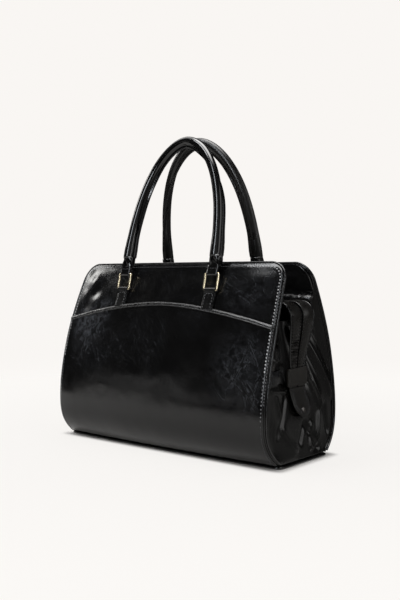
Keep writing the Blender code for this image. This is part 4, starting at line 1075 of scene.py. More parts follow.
def zipPath():
    # middle line of a zip end as (x, height), from the recess to the tab's tip
    start = closure["span"] + bag["touchGap"]
    turn = zipEnd["outerX"] - zipEnd["radius"]
    points = [(between(start, turn, step / 24), zipLevel) for step in range(24)]
    for step in range(25):
        a = math.pi / 2 * step / 24
        points.append((turn + zipEnd["radius"] * math.sin(a), zipLevel - zipEnd["radius"] * (1 - math.cos(a))))
    archFoot = zipLevel - zipEnd["radius"]
    for step in range(1, 41):
        share = step / 40
        points.append((between(zipEnd["outerX"], keeperX, smooth(share)), between(archFoot, keeperTop, share)))
    leave = keeperFoot - zipEnd["thickness"]
    for step in range(1, 15):
        points.append((keeperX, between(keeperTop, leave, step / 14)))
    return points


def tabPath():
    leave = keeperFoot - zipEnd["thickness"]
    tipX = halfLength(zipEnd["tip"] - bag["footRise"]) + zipEnd["standOut"]
    length = leave - zipEnd["tip"]
    roundStart = 1.0 - zipEnd["tabHalf"] / length
    shares = [roundStart * step / 14 for step in range(15)]
    shares += [roundStart + (1 - roundStart) * math.sin(math.radians(a)) for a in range(6, 91, 6)]
    return [(between(keeperX, tipX, smooth(share * 0.8) / smooth(0.8)), leave - length * share)
            for share in shares]


def zipHalf(x, height):
    start = closure["span"] + bag["touchGap"]
    turn = zipEnd["outerX"] - zipEnd["radius"]
    if height > zipLevel - 1e-6:
        wide = closureEdge(start, zipEnd["thickness"])
        return between(wide, zipEnd["halfArch"], smooth((x - start) / (turn - start)))
    if height > keeperTop:
        fallen = (zipLevel - height) / (zipLevel - keeperTop)
        return between(zipEnd["halfArch"], zipEnd["halfNeck"], fallen ** 1.5)
    share = (keeperTop - height) / keeper["tall"]
    if height > keeperFoot:
        return between(zipEnd["halfNeck"], zipEnd["tabHalf"], share)
    past = max(zipEnd["tip"] + zipEnd["tabHalf"] - height, 0.0)
    return math.sqrt(max(zipEnd["tabHalf"] ** 2 - past ** 2, 0.0))


def zipShift(height):
    # the strap hangs a little forward at the keeper and its tip leans back again
    if height > keeperFoot:
        return -zipEnd["shift"] * smooth((zipLevel - height) / (zipLevel - keeperTop))
    return -zipEnd["shift"] + zipEnd["lean"] * (keeperFoot - height) / (keeperFoot - zipEnd["tip"])


def withNormals(path):
    made = []
    for index, (x, height) in enumerate(path):
        x0, h0 = path[max(index - 1, 0)]
        x1, h1 = path[min(index + 1, len(path) - 1)]
        ahead = Vector((x1 - x0, 0.0, h1 - h0)).normalized()
        made.append((x, height, Vector((-ahead.z, 0.0, ahead.x))))
    return made


def makeZipEnd(end):
    path = withNormals(zipPath())
    lengths = along([Vector((x, 0.0, h)) for x, h, n in path])
    halves = [zipHalf(x, h) for x, h, n in path]
    archAt = lengths[24]
    last = len(path) - 1
    name = endNames[end]

    def opened(index):
        return smooth((lengths[index] - 0.012) / (archAt - 0.012))

    def slotHalf(index):
        # as wide as the recess's own slot for as far as the slider runs
        narrowing = smooth((lengths[index] - zipEnd["slotLength"]) / zipEnd["slotTaper"])
        return between(closure["slot"], zipEnd["slot"] * halves[index] / zipEnd["halfArch"], narrowing)

    def put(index, y, rise):
        x, height, normal = path[index]
        y += zipShift(height)
        if height <= keeperTop:
            rise = min(rise, zipEnd["thickness"] / 2)
        return atEnd(Vector((x, y, height)) + normal * rise, end)

    def outside(point):
        return Vector((end * 0.7, 0.0, 0.7)) if point.z > 0.19 else Vector((end, 0.0, 0.0))

    def strip(nearEdge, farEdge, crown, columns, ribbed=0.0):
        def place(u, v):
            index = round(v * last)
            y = between(nearEdge(index), farEdge(index), u)
            wave = noise.noise(Vector((lengths[index] * 60.0, y * 50.0, end + nearEdge(index) * 9)))
            swell = crown * opened(index)
            neck = 1.0 - 0.75 * smooth((lengths[index] - lengths[-1] + 0.045) / 0.02)
            low = smooth((zipLevel - path[index][1] - 0.040) / 0.015)
            rib = zipEnd["ribRise"] * math.sin(math.tau * lengths[index] / zipEnd["rib"]) * low * ribbed
            rise = (swell + rib + 0.0005 * wave) * math.sin(math.pi * u) * neck
            return put(index, y, zipEnd["thickness"] / 2 + rise)
        return surface(columns, last, place, (0.03, lengths[-1]), outward=outside)

    bm = strip(lambda i: -halves[i], lambda i: -slotHalf(i), 0.0008, 16, ribbed=1.0)
    piece(name + "ZipEndFront", bm, "bag", "strap", [name + "_zip_end"], zipEnd["thickness"], bevel=0.0006)
    bm = strip(slotHalf, lambda i: halves[i], 0.0018, 22)
    piece(name + "ZipEndBack", bm, "bag", "strap", (), zipEnd["thickness"], bevel=0.0006)

    # gathered strip between the two, with the closed zip as a groove beside it; its glossless black finish is
    # painted shade that keeps the gap between the strips dark
    first = zipEnd["gatherFrom"]

    def middlePlace(u, v):
        index = round(first + v * (last - first))
        reach = slotHalf(index) + zipEnd["gatherLap"]
        y = between(-reach, reach, u)
        scale = halves[index] / zipEnd["halfArch"]
        groove = -zipEnd["groove"] * math.exp(-(y / (zipEnd["grooveHalf"] * scale)) ** 2)
        return put(index, y, -0.0003 + groove * opened(index))

    bm = surface(26, (last - first) * 2, middlePlace, (0.02, lengths[-1]), outward=outside)
    piece(name + "ZipEndGather", bm, "bag", "blackThread", (), 0.0006)

    def seam(start, across, rise):
        return [(put(index, across(index), zipEnd["thickness"] / 2 + rise), atEnd(path[index][2], end))
                for index in range(start, last - 8)]

    rows = [seam(4, lambda i: sign * (slotHalf(i) + zipEnd["slotSeam"]), 0.0002) for sign in (-1, 1)]
    rows += [seam(22, lambda i: sign * (halves[i] - zipEnd["rimSeam"]), 0.0004) for sign in (-1, 1)]
    stitches(name + "ZipEndStitches", rows, "bag", "blackThread", width=zipEnd["seamWidth"])
    # rolled rims
    for sign, radius in zipEnd["rims"].items():
        stations = range(first, last - 6)
        rim = [put(index, sign * (halves[index] - radius * 0.5), zipEnd["thickness"] * 0.25) for index in stations]
        normals = [atEnd(path[index][2], end) for index in stations]
        bm = tube(rim, circle(radius, 10), up=lambda i: normals[i],
                  wobble=lambda s, i: 1.0 + 0.10 * noise.noise(Vector((i * 0.3, sign * 4.0, end))))
        piece(name + "ZipEndRim" + sideNames[sign].capitalize(), bm, "bag", "soft")


closureRoll = {"inner": 0.001, "outerX": 0.1890, "steps": 30, "rise": 0.0082, "fall": 0.0026, "inset": 0.0082,
               "up": (0.60, 0.79), "radius": 0.0058, "sides": 20, "flatten": 1.65, "uneven": 0.14,
               "tip": 0.55, "swell": 0.12}


def makeClosureRolls(end):
    # soft roll where the closure leaves each facing
    steps = closureRoll["steps"]
    inward, upward = closureRoll["up"]
    for side in (front, back):
        points = []
        for step in range(steps + 1):
            share = step / steps
            x = between(closure["span"] + closureRoll["inner"], closureRoll["outerX"], share)
            height = closureHeight + closureRoll["rise"] - closureRoll["fall"] * share
            y = depthAt(x, height, liningLayer) - closureRoll["inset"]
            points.append(Vector((end * x, side * y, height)))

        def wobble(step, index):
            uneven = noise.noise(Vector((index * 0.30, step * 0.35, side + 2.0 * end)))
            nearest = min(index, steps - index)
            grown = min(1.0, closureRoll["tip"] + nearest * closureRoll["swell"])
            return (1.0 + closureRoll["uneven"] * uneven) * grown

        profile = circle(closureRoll["radius"], closureRoll["sides"], closureRoll["flatten"])
        bm = tube(points, profile, up=lambda i: Vector((0.0, -inward * side, upward)), wobble=wobble)
        piece(endNames[end] + sideNames[side].capitalize() + "ClosureRoll", bm, "bag", "soft")


tab = {"columns": 32, "rows": (0.0028, 0.0050), "rowTop": 0.003, "pitch": 0.0030, "width": 0.00030}


def makeTab(end):
    path = withNormals(tabPath())
    last = len(path) - 1
    name = endNames[end]

    def place(u, v):
        x, height, normal = path[round(v * last)]
        half = zipHalf(x, height)
        y = (2 * u - 1) * half
        rim = min(half - abs(y), (height - zipEnd["tip"]) * 2.0 + 0.0002)
        rise = zipEnd["thickness"] / 2 + 0.0004 * smooth(rim / 0.004)
        rise -= 0.0002 * math.exp(-((rim - 0.0030) / 0.0006) ** 2)
        rise += 0.0003 * noise.noise(Vector((y * 60, height * 60, end * 3)))
        return atEnd(Vector((x, y + zipShift(height), height)) + normal * rise, end)

    bm = surface(tab["columns"], last, place, (0.038, 0.04), outward=aimed(end, 0, 0))
    bmesh.ops.remove_doubles(bm, verts=bm.verts, dist=0.000002)
    piece(name + "Tab", bm, "bag", "strap", (), zipEnd["thickness"])
    rows = []
    rowTop = keeperFoot - tab["rowTop"]
    centre = zipEnd["tip"] + zipEnd["tabHalf"]
    for inset in tab["rows"]:
        row = []
        half = zipEnd["tabHalf"] - inset
        outline = [(-half, between(rowTop, centre, s / 10)) for s in range(10)]
        outline += [(-half * math.cos(math.pi * s / 24), centre - half * math.sin(math.pi * s / 24))
                    for s in range(25)]
        outline += [(half, between(centre, rowTop, s / 10)) for s in range(1, 11)]
        for y, height in outline:
            x, level, normal = min(path, key=lambda item: abs(item[1] - height))
            at = Vector((x, y + zipShift(height), height)) + normal * (zipEnd["thickness"] / 2 + 0.0003)
            row.append((atEnd(at, end), atEnd(normal, end)))
        rows.append(row)
    stitches(name + "TabStitches", rows, "bag", "shadedThread", tab["pitch"], tab["width"])


def makeKeeper(end):
    name = endNames[end]
    innerX = zipEnd["thickness"] / 2 + bag["layerGap"]
    innerY = zipEnd["tabHalf"] + bag["layerGap"] + 0.0016
    halfX = innerX + keeper["wall"]
    halfY = innerY + keeper["wall"]
    outline = roundedRectangle(halfX, halfY, keeper["corner"], 15)
    dense = resample([Vector((x, y, 0.0)) for x, y in outline + outline[:1]], 0.0018)[:-1]

    def place(u, v):
        spot = dense[round(u * len(dense)) % len(dense)]
        bulge = 0.0005 * math.sin(math.pi * v) + 0.0002 * noise.noise(Vector((spot.y * 70, v * 3, end)))
        ends = 0.0005 * (smooth((0.1 - v) / 0.1) + smooth((v - 0.9) / 0.1))
        outward = Vector((spot.x / halfX, spot.y / halfY * 0.4, 0.0)).normalized()
        at = spot + outward * (bulge - ends)
        lean = 0.0006 * math.sin(spot.y * 90)
        height = between(keeperFoot, keeperTop, v) + lean
        return Vector((end * (keeperX + at.x), at.y - zipEnd["shift"], height))

    bm = surface(len(dense), 14, place, (0.09, 0.024), closed=True)
    piece(name + "KeeperLoop", bm, "bag", "matt", [name + "_keeper_loop"], keeper["wall"], bevel=0.0004)
    strapMiddle = keeper["height"] + (keeper["tall"] - keeper["strapTall"]) / 2

    def strapPlace(u, v):
        height = between(strapMiddle - keeper["strapTall"] / 2, strapMiddle + keeper["strapTall"] / 2, v)
        half = depthAt(edgeHalfLength(height - bag["footRise"]), height, facingLayer + bag["layerGap"])
        y = between(half - 0.0006, halfY - 0.0012 + zipEnd["shift"], u)
        x = gussetX(y / half, height) + keeper["standOff"] + keeper["strap"]
        pull = 0.0026 * math.sin(math.pi * u) * math.sin(math.pi * v) ** 0.5
        crease = 0.0005 * noise.noise(Vector((y * 90, height * 40, 7.0 + end)))
        return Vector((end * (x + pull + crease), -y, height))

    bm = surface(28, 14, strapPlace, (0.06, 0.019), outward=aimed(end, 0, 0))
    piece(name + "KeeperStrap", bm, "bag", "panel", [name + "_keeper_strap"], keeper["strap"], bevel=0.0004)


for end in (-1, 1):
    makeGusset(end)
    makeZipEnd(end)
    makeClosureRolls(end)
    makeTab(end)
    makeKeeper(end)
    low, high = sorted((end * (closure["span"] + bag["touchGap"]), end * closure["limit"]))
    for side in (front, back):
        makeTape(endNames[end] + sideNames[side].capitalize() + "EndTape", low, high, side, "bag",
                 [endNames[end] + "_zip_end_tape"])
for side in (front, back):
    makeFlange(side)
    makeTape(sideNames[side] + "ZipTape", -closure["span"], closure["span"], side, sideNames[side] + "_flap",
             [sideNames[side] + "_zip_tape"])
print("ends and closure ready")

# handles, rings and the straps that hold them
handle = {"ringX": {front: 0.0840, back: 0.0880}, "seamTurn": {front: (50.0, 130.0), back: (95.0, 45.0)},
          "turnReach": (1.0, 0.72), "ringSize": 0.0260, "wire": 0.0015, "ringCorner": 0.0024, "ringDrop": 0.0370,
          "loopWidth": 0.0190, "loop": 0.0014, "eyeGap": 0.0004, "arch": 0.2017, "powerX": 1.10, "powerUp": 0.762,
          "apexFront": 0.0094, "apexBack": 0.0160, "radius": 0.0067, "flange": 0.0040, "lip": 0.0015,
          "endLength": 0.0260, "endFlat": 0.0052, "stations": 150}
ringSpan = handle["ringSize"] - 2 * handle["wire"]
eyeRadius = handle["wire"] + handle["eyeGap"]
barHeight = topHeight - handle["ringDrop"]
barY = {side: depthAt(handle["ringX"][side] - handle["loopWidth"] / 2, barHeight,
                      -(bag["layerGap"] + handle["loop"] + handle["eyeGap"] + handle["wire"]))
        for side in (front, back)}


def cornerName(side, end):
    return sideNames[side] + endNames[end].capitalize()


def cornerNode(side, end):
    return sideNames[side] + "_" + endNames[end]


def leanOf(side):
    apex = handle["apexFront"] if side == front else handle["apexBack"]
    return side * math.asin((barY[side] - apex) / (ringSpan + handle["arch"]))


def ringPlace(side, x, y, up):
    # a point of the ring's own plane, its lower bar at up 0
    lean = leanOf(side)
    return Vector((x, side * barY[side] + y * math.cos(lean) - up * math.sin(lean),
                   barHeight + y * math.sin(lean) + up * math.cos(lean)))


def handlePlace(side, x, y, up):
    return ringPlace(side, x, y, up + ringSpan)


def archPoint(turn, side):
    return Vector((handle["ringX"][side] * math.cos(turn) ** handle["powerX"], 0.0,
                   handle["arch"] * math.sin(turn) ** handle["powerUp"]))


def archPath(start, count, side):
    fine = [archPoint(math.pi / 2 * (step / 900) ** 2, side) for step in range(901)]
    whole = fine + [Vector((-p.x, 0.0, p.z)) for p in reversed(fine[:-1])]
    lengths = along(whole)
    wanted = [between(start, lengths[-1] - start, step / count) for step in range(count + 1)]
    return pointsAt(whole, lengths, wanted)


def rollProfile():
    # wrapped cord with its two edges sewn together towards the hand
    radius = handle["radius"]
    lip = handle["lip"]
    tip = -(radius + handle["flange"])
    profile = [(tip + 0.0007, 0.0), (tip + 0.0001, 0.00035), (tip, lip * 0.6), (tip + 0.0005, lip * 0.95)]
    profile += [(between(tip + 0.0010, -radius * 1.02, s / 3), lip) for s in range(4)]
    first = math.pi - math.asin(lip * 1.25 / radius)
    count = 26
    turns = [first * (1 - 2 * s / count) for s in range(count + 1)]
    profile += [(radius * math.cos(turn), radius * math.sin(turn)) for turn in turns]
    profile += [(between(-radius * 1.02, tip + 0.0010, s / 3), -lip) for s in range(4)]
    return profile + [(tip + 0.0005, -lip * 0.95), (tip, -lip * 0.6), (tip + 0.0001, -0.00035)]


def makeRoll(side):
    name = sideNames[side]
    body = name + "_handle"
    local = archPath(handle["endLength"] - 0.0020, handle["stations"], side)
    points = [handlePlace(side, p.x, p.y, p.z) for p in local]
    outwards = []
    for index, p in enumerate(local):
        before = local[max(index - 1, 0)]
        after = local[min(index + 1, len(local) - 1)]
        ahead = (after - before).normalized()
        normal = Vector((ahead.z, 0.0, -ahead.x))
        if normal.dot(p - Vector((0.0, 0.0, handle["arch"] * 0.4))) < 0.0:
            normal.negate()
        outwards.append(normal)
    count = len(local) - 1
    # the sewn edge faces the hand at the top and turns in towards the bag by each end
    facings = []
    for index, normal in enumerate(outwards):
        travelled = 1 - 2 * index / count
        leg = 0 if travelled < 0 else 1
        turn = math.radians(handle["seamTurn"][side][leg]) * smooth(abs(travelled) / handle["turnReach"][leg])
        across = Vector((0.0, 1.0, 0.0))
        facings.append((normal * math.cos(turn) + across * side * math.sin(turn),
                        across * math.cos(turn) - normal * side * math.sin(turn)))

    def turned(p, n):
        return handlePlace(side, p.x + n.x, p.y + n.y, p.z + n.z) - handlePlace(side, p.x, p.y, p.z)

    world = [turned(p, away) for p, (away, beside) in zip(local, facings)]
    sideways = [turned(p, beside) for p, (away, beside) in zip(local, facings)]

    profile = rollProfile()
    lengths = along(points)

    def wobble(step, index):
        near = min(index, count - index) / count
        fromEnd = min(lengths[index], lengths[-1] - lengths[index])
        reach = math.hypot(*profile[step])
        kept = min(1.0, between(handle["radius"] * 0.97 / reach, 1.0, smooth((fromEnd - 0.0002) / 0.003)))
        crumple = 0.05 * max(1.0 - near * 12.0, 0.0)
        value = 1.0 + 0.022 * noise.noise(Vector((index * 0.09, math.cos(step * 0.16) * 2.0, side * 3.0)))
        value += crumple * noise.noise(Vector((index * 0.9, math.sin(step * 0.16) * 1.5, side)))
        return value * kept * (1.0 + 0.13 * smooth((0.042 - fromEnd) / 0.034))

    bm = tube(points, profile, up=lambda index: world[index], wobble=wobble)
    piece(name + "HandleRoll", bm, body, "roll" if side == front else "paintedSheenRoll", [name + "_handle_roll"])
    rows = []
    for face in (-1, 1):
        row = []
        for index in range(count + 1):
            if min(lengths[index], lengths[-1] - lengths[index]) < 0.012:
                continue
            across = sideways[index] * face
            inward = world[index] * (handle["radius"] + handle["flange"] * 0.42)
            row.append((points[index] - inward + across * handle["lip"], across))
        rows.append(row)
    stitches(name + "RollStitches", rows, body, "blackThread", width=0.00034)


def roundedSection(halfX, halfY, squareness, count):
    made = []
    for step in range(count):
        a = math.tau * step / count
        made.append((halfX * math.copysign(abs(math.cos(a)) ** (2 / squareness), math.cos(a)),
                     halfY * math.copysign(abs(math.sin(a)) ** (2 / squareness), math.sin(a))))
    return made


def makeHandleEnd(side, end):
    name = cornerName(side, end)
    wrap = eyeRadius + handle["loop"]
    half = handle["loopWidth"] / 2
    centre = end * handle["ringX"][side]
    count = 40
    levels = []
    for step in range(9):
        a = math.radians(-78.0 + 98.0 * step / 8)
        levels.append((half, wrap * math.cos(a), 5.0, wrap * math.sin(a)))
    flatUp = handle["endLength"] * 0.30
    for step in range(1, 6):
        share = step / 5
        leave = math.radians(20.0)
        levels.append((half - 0.0004 * share, between(wrap * math.cos(leave), handle["endFlat"] / 2, smooth(share)),
                       5.0, between(wrap * math.sin(leave), flatUp, share)))
    for step in range(1, 17):
        share = step / 16
        swell = smooth(share)
        levels.append((between(half - 0.0004, handle["radius"] * 1.38, swell),
                       between(handle["endFlat"] / 2, handle["radius"] * 1.22, swell),
                       between(5.0, 2.0, swell), between(flatUp, handle["endLength"], share)))
    sections = [roundedSection(halfX, halfY, squareness, count) for halfX, halfY, squareness, up in levels]
    last = len(levels) - 1
    turn = math.radians(handle["seamTurn"][side][0 if end < 0 else 1])
    seamX = -end * math.cos(turn) * handle["flange"] * 0.55
    seamY = -side * math.sin(turn) * handle["flange"] * 0.55

    def place(u, v):
        row = round(v * last)
        step = round(u * count) % count
        x, y = sections[row][step]
        up = levels[row][3]
        a = math.tau * step / count
        swell = smooth((up - 0.003) / 0.012)
        pleat = 0.0007 * math.sin(a * 5 + end + up * 260) * swell * (1.0 - smooth((up - 0.020) / 0.006) * 0.7)
        spot = Vector((math.cos(a) * 1.4 + end * 4, math.sin(a) * 1.4 + side * 3, up * 120))
        dents = 0.0008 * noise.noise(spot) * swell
        pinch = -0.0007 * math.exp(-((up - 0.0052) / 0.0012) ** 2) * abs(math.sin(a))
        out = Vector((x, y)).normalized() * (pleat + dents + pinch)
        lean = smooth((up - 0.006) / 0.014)
        return handlePlace(side, centre + x + out.x + seamX * lean, y + out.y + seamY * lean, up)

    bm = surface(count, last, place, (0.05, 0.03), closed=True, capped=True)
    piece(name + "HandleEnd", bm, sideNames[side] + "_handle", "roll",
          [cornerNode(side, end) + "_handle_end"])
    across = handlePlace(side, 0.0, 1.0, 0.0) - handlePlace(side, 0.0, 0.0, 0.0)
    rows = []
    for face in (-1, 1):
        y = face * (handle["endFlat"] / 2 + 0.0003)
        rows.append([(handlePlace(side, centre + half * s, y, 0.0072), across * face)
                     for s in (-0.85, -0.4, 0.0, 0.4, 0.85)])
    stitches(name + "EndStitches", rows, sideNames[side] + "_handle", "shadedThread", pitch=0.0034)


def makeRing(side, end):
    half = ringSpan / 2
    outline = roundedRectangle(half, half, handle["ringCorner"], 10)
    flat = resample([Vector((x, 0.0, half + z)) for x, z in outline + outline[:1]], 0.0007)[:-1]
    points = [ringPlace(side, end * handle["ringX"][side] + p.x, 0.0, p.z) for p in flat]
    normal = ringPlace(side, 0.0, 1.0, 0.0) - ringPlace(side, 0.0, 0.0, 0.0)
    profile = roundedSection(handle["wire"] * 1.18, handle["wire"] * 1.18, 3.0, 16)
    name = cornerName(side, end) + "Ring"
    bm = tube(points, profile, closed=True, up=lambda index: normal)
    piece(name, bm, sideNames[side] + "_rings", "gold", [cornerNode(side, end) + "_ring"])


def makeRingLoop(side, end):
    nearX = handle["ringX"][side] - handle["loopWidth"] / 2
    footLevel = pocketHeight(nearX) + 0.0012 if side == front else pocket["middle"] - pocket["rise"]
    foot = bag["footRise"] + footLevel
    inner = bag["layerGap"] + handle["loop"] / 2
    outer = inner + handle["loop"] + bag["layerGap"]
    radius = eyeRadius + handle["loop"] / 2
    path = []
    for step in range(12):
        height = between(foot, barHeight, 0.75 * step / 11)
        path.append((depthAt(nearX, height, -inner), height))
    for step in range(25):
        a = math.pi * (1 - step / 24)
        path.append((barY[side] + radius * math.cos(a), barHeight + radius * math.sin(a)))
    for step in range(16):
        height = between(barHeight, foot, 0.22 + 0.78 * step / 15)
        path.append((depthAt(nearX, height, -outer), height))
    last = len(path) - 1
    width = handle["loopWidth"]

    def place(u, v):
        index = round(v * last)
        y, height = path[index]
        x = end * handle["ringX"][side] + (2 * u - 1) * width / 2
        wave = 0.0003 * noise.noise(Vector((x * 120, height * 90, side + index * 0.02)))
        edge = 1.0 - abs(2 * u - 1)
        crown = 0.0003 * smooth(edge / 0.3) if index > 36 else 0.0
        return Vector((x, side * (y + wave + crown), height))

    def outside(point):
        return Vector((0.0, side, 0.0)) if abs(point.y) > barY[side] else Vector((0.0, -side, 0.0))

    bm = surface(16, last, place, (width, 0.09), outward=outside)
    name = cornerName(side, end) + "RingLoop"
    piece(name, bm, "bag", "edge", [cornerNode(side, end) + "_ring_loop"], handle["loop"], 0.0, bevel=0.0003)
    rows = []
    top = barHeight - 0.0052

    def onLoop(x, height):
        y = depthAt(nearX, height, -(outer + handle["loop"] / 2 + 0.0003))
        place = Vector((end * handle["ringX"][side] + x, side * y, height))
        return place, skinNormal(nearX, height - bag["footRise"], side)

    half = width / 2 - 0.0030
    for x in (-half, half):
        rows.append([onLoop(x, between(foot + 0.001, top, s / 12)) for s in range(13)])
    rows.append([onLoop((2 * s / 8 - 1) * half, top) for s in range(9)])
    stitches(name + "Stitches", rows, "bag", "halfShadedThread", pitch=0.0040, width=0.00036)


for side in (front, back):
    makeRoll(side)
    for end in (-1, 1):
        makeHandleEnd(side, end)
        makeRing(side, end)
        makeRingLoop(side, end)
print("handles ready")

# lining
lining = {"slack": 0.0040, "turn": 0.0030, "crease": 0.0022, "sideSteps": 56, "endSteps": 20, "rows": 30,
          "floorRows": 10, "base": 0.0036, "board": 0.0020}


def makeLining():
    floor = lining["base"] + bag["touchGap"] + lining["board"] + bag["layerGap"]
    lowest = floor + lining["turn"]
    rim = topHeight - facing["depth"] - 2 * bag["layerGap"]
    endIn = bag["gusset"] + lining["slack"]
    total = 2 * (lining["sideSteps"] + lining["endSteps"])

    def wallSpot(index, share, drawIn):
        index %= total
        half = total // 2
        side = front if index < half else back
        step = index % half
        height = between(lowest, rim, share)
        halfX = gussetX(1.0, height) - endIn - drawIn
        if step < lining["sideSteps"]:
            x = -side * halfX * (2 * step / lining["sideSteps"] - 1)
            return Vector((x, side * (depthAt(x, height, liningLayer) - drawIn), height))
        v = 2 * (step - lining["sideSteps"]) / lining["endSteps"] - 1
        level = between(lowest, min(rim, gussetTop(v) - lining["slack"]), share)
        halfY = depthAt(halfX, level, liningLayer) - drawIn
        return Vector((-side * (gussetX(v, level) - endIn - drawIn), -side * v * halfY, level))

    floorRows = lining["floorRows"]

    def place(u, v):
        index = round(u * total)
        row = round(v * (lining["rows"] + floorRows))
        if row < floorRows:
            spot = wallSpot(index, 0.0, lining["turn"])
            share = row / floorRows
            return Vector((spot.x * share, spot.y * share, floor))
        share = (row - floorRows) / lining["rows"]
        spot = wallSpot(index, share, 0.0)
        inward = Vector((-spot.x * 0.2, -spot.y, 0.0)).normalized()
        slack = math.sin(math.pi * min(share * 1.02, 1.0)) * smooth(share * 6)
        wave = 0.5 + 0.5 * noise.noise(Vector((spot.x * 26, spot.y * 26, spot.z * 9 + 2.0)))
        return spot + inward * lining["crease"] * wave * slack

    bm = surface(total, lining["rows"] + floorRows, place, (1.08, 0.3), closed=True)
    made = piece("liningCloth", bm, "bag", "lining", ["lining"], 0.0006)
    bm = bmesh.new()
    bm.from_mesh(made.data)
    upward = sum(face.normal.z for face in bm.faces if face.calc_center_median().z < lowest)
    if upward < 0.0:
        bmesh.ops.reverse_faces(bm, faces=bm.faces)
        bm.to_mesh(made.data)
    bm.free()


makeLining()

# solids that keep their form
keptFinishes = {"base_panel": "soft", "base_board": "board", "front_handle_core": "cord",
                "back_handle_core": "cord", "zip_slider": "dark", "zip_pull": "dark",
                "left_tab_rivet": "dark", "right_tab_rivet": "dark"}
for name, finish in keptFinishes.items():
    nodes[name].data.materials.clear()
    nodes[name].data.materials.append(finishes[finish])
print("lining and hardware ready")

# floor, background, light
studio = {"white": (0.947, 0.922, 0.896), "glow": (0.975, 0.955, 0.930), "lit": (1.0, 0.99, 0.98),
          "cool": (0.90, 0.95, 1.0), "ambient": 0.80, "darkRoom": 0.030,
          "overhead": 9.0, "overheadFrom": (0.90, 0.965),
          "stripLight": 11.0, "stripAt": (0.0523, -0.9986, 0.0), "stripEdge": (0.993, 0.998),
          "stripFoot": (0.04, 0.12), "stripTop": (0.80, 0.88), "lowWall": 0.75, "wallTop": (0.02, 0.11)}
# round patches of light in reflections: direction, start and end of the soft edge, strength
glows = [((-0.9155, -0.0962, 0.3907), 0.965, 0.988, 0.80), ((0.851, 0.397, 0.342), 0.925, 0.972, 1.25),
         ((-0.545, 0.126, 0.829), 0.90, 0.965, 2.2), ((0.9865, -0.0863, 0.139), 0.990, 0.997, 3.5),
         ((0.60, -0.75, 0.28), 0.78, 0.95, 0.22)]
table = {
    "tone": (0.90, 0.885, 0.865), "shade": 0.985, "radius": 14.0, "sink": 0.0001,
    "roughness": 0.30, "shine": 0.35,
    # distances from the bag: where the floor glows, whitens, keeps the shadow, and how much it reflects
    "glow": 0.86, "glowFrom": (0.25, 0.9), "whiteFrom": (0.45, 1.5), "shadow": (0.002, 0.018),
    "reflected": (0.0, 0.26, 0.56, 0.84),
    # lines across the floor where it ends for reflections: direction, start, end
    "left": (-0.98, -0.20, 1.10, 1.40), "front": (-0.20, -0.98, 0.60, 0.80), "right": (0.75, -0.66, 0.04, 0.15),
    "behind": (0.64, 0.77, 0.115, 0.20), "behindLeft": 0.20,
    "farEnd": (-0.643, -0.766), "farEdge": (0.976, 0.992), "farFrom": (1.7, 2.4),
}


def mixShaders(tree, factor, first, second):
    mix = addNode(tree, "ShaderNodeMixShader")
    for socket, value in zip(mix.inputs, (factor, first, second)):
        tree.links.new(value, socket)
    return mix.outputs[0]


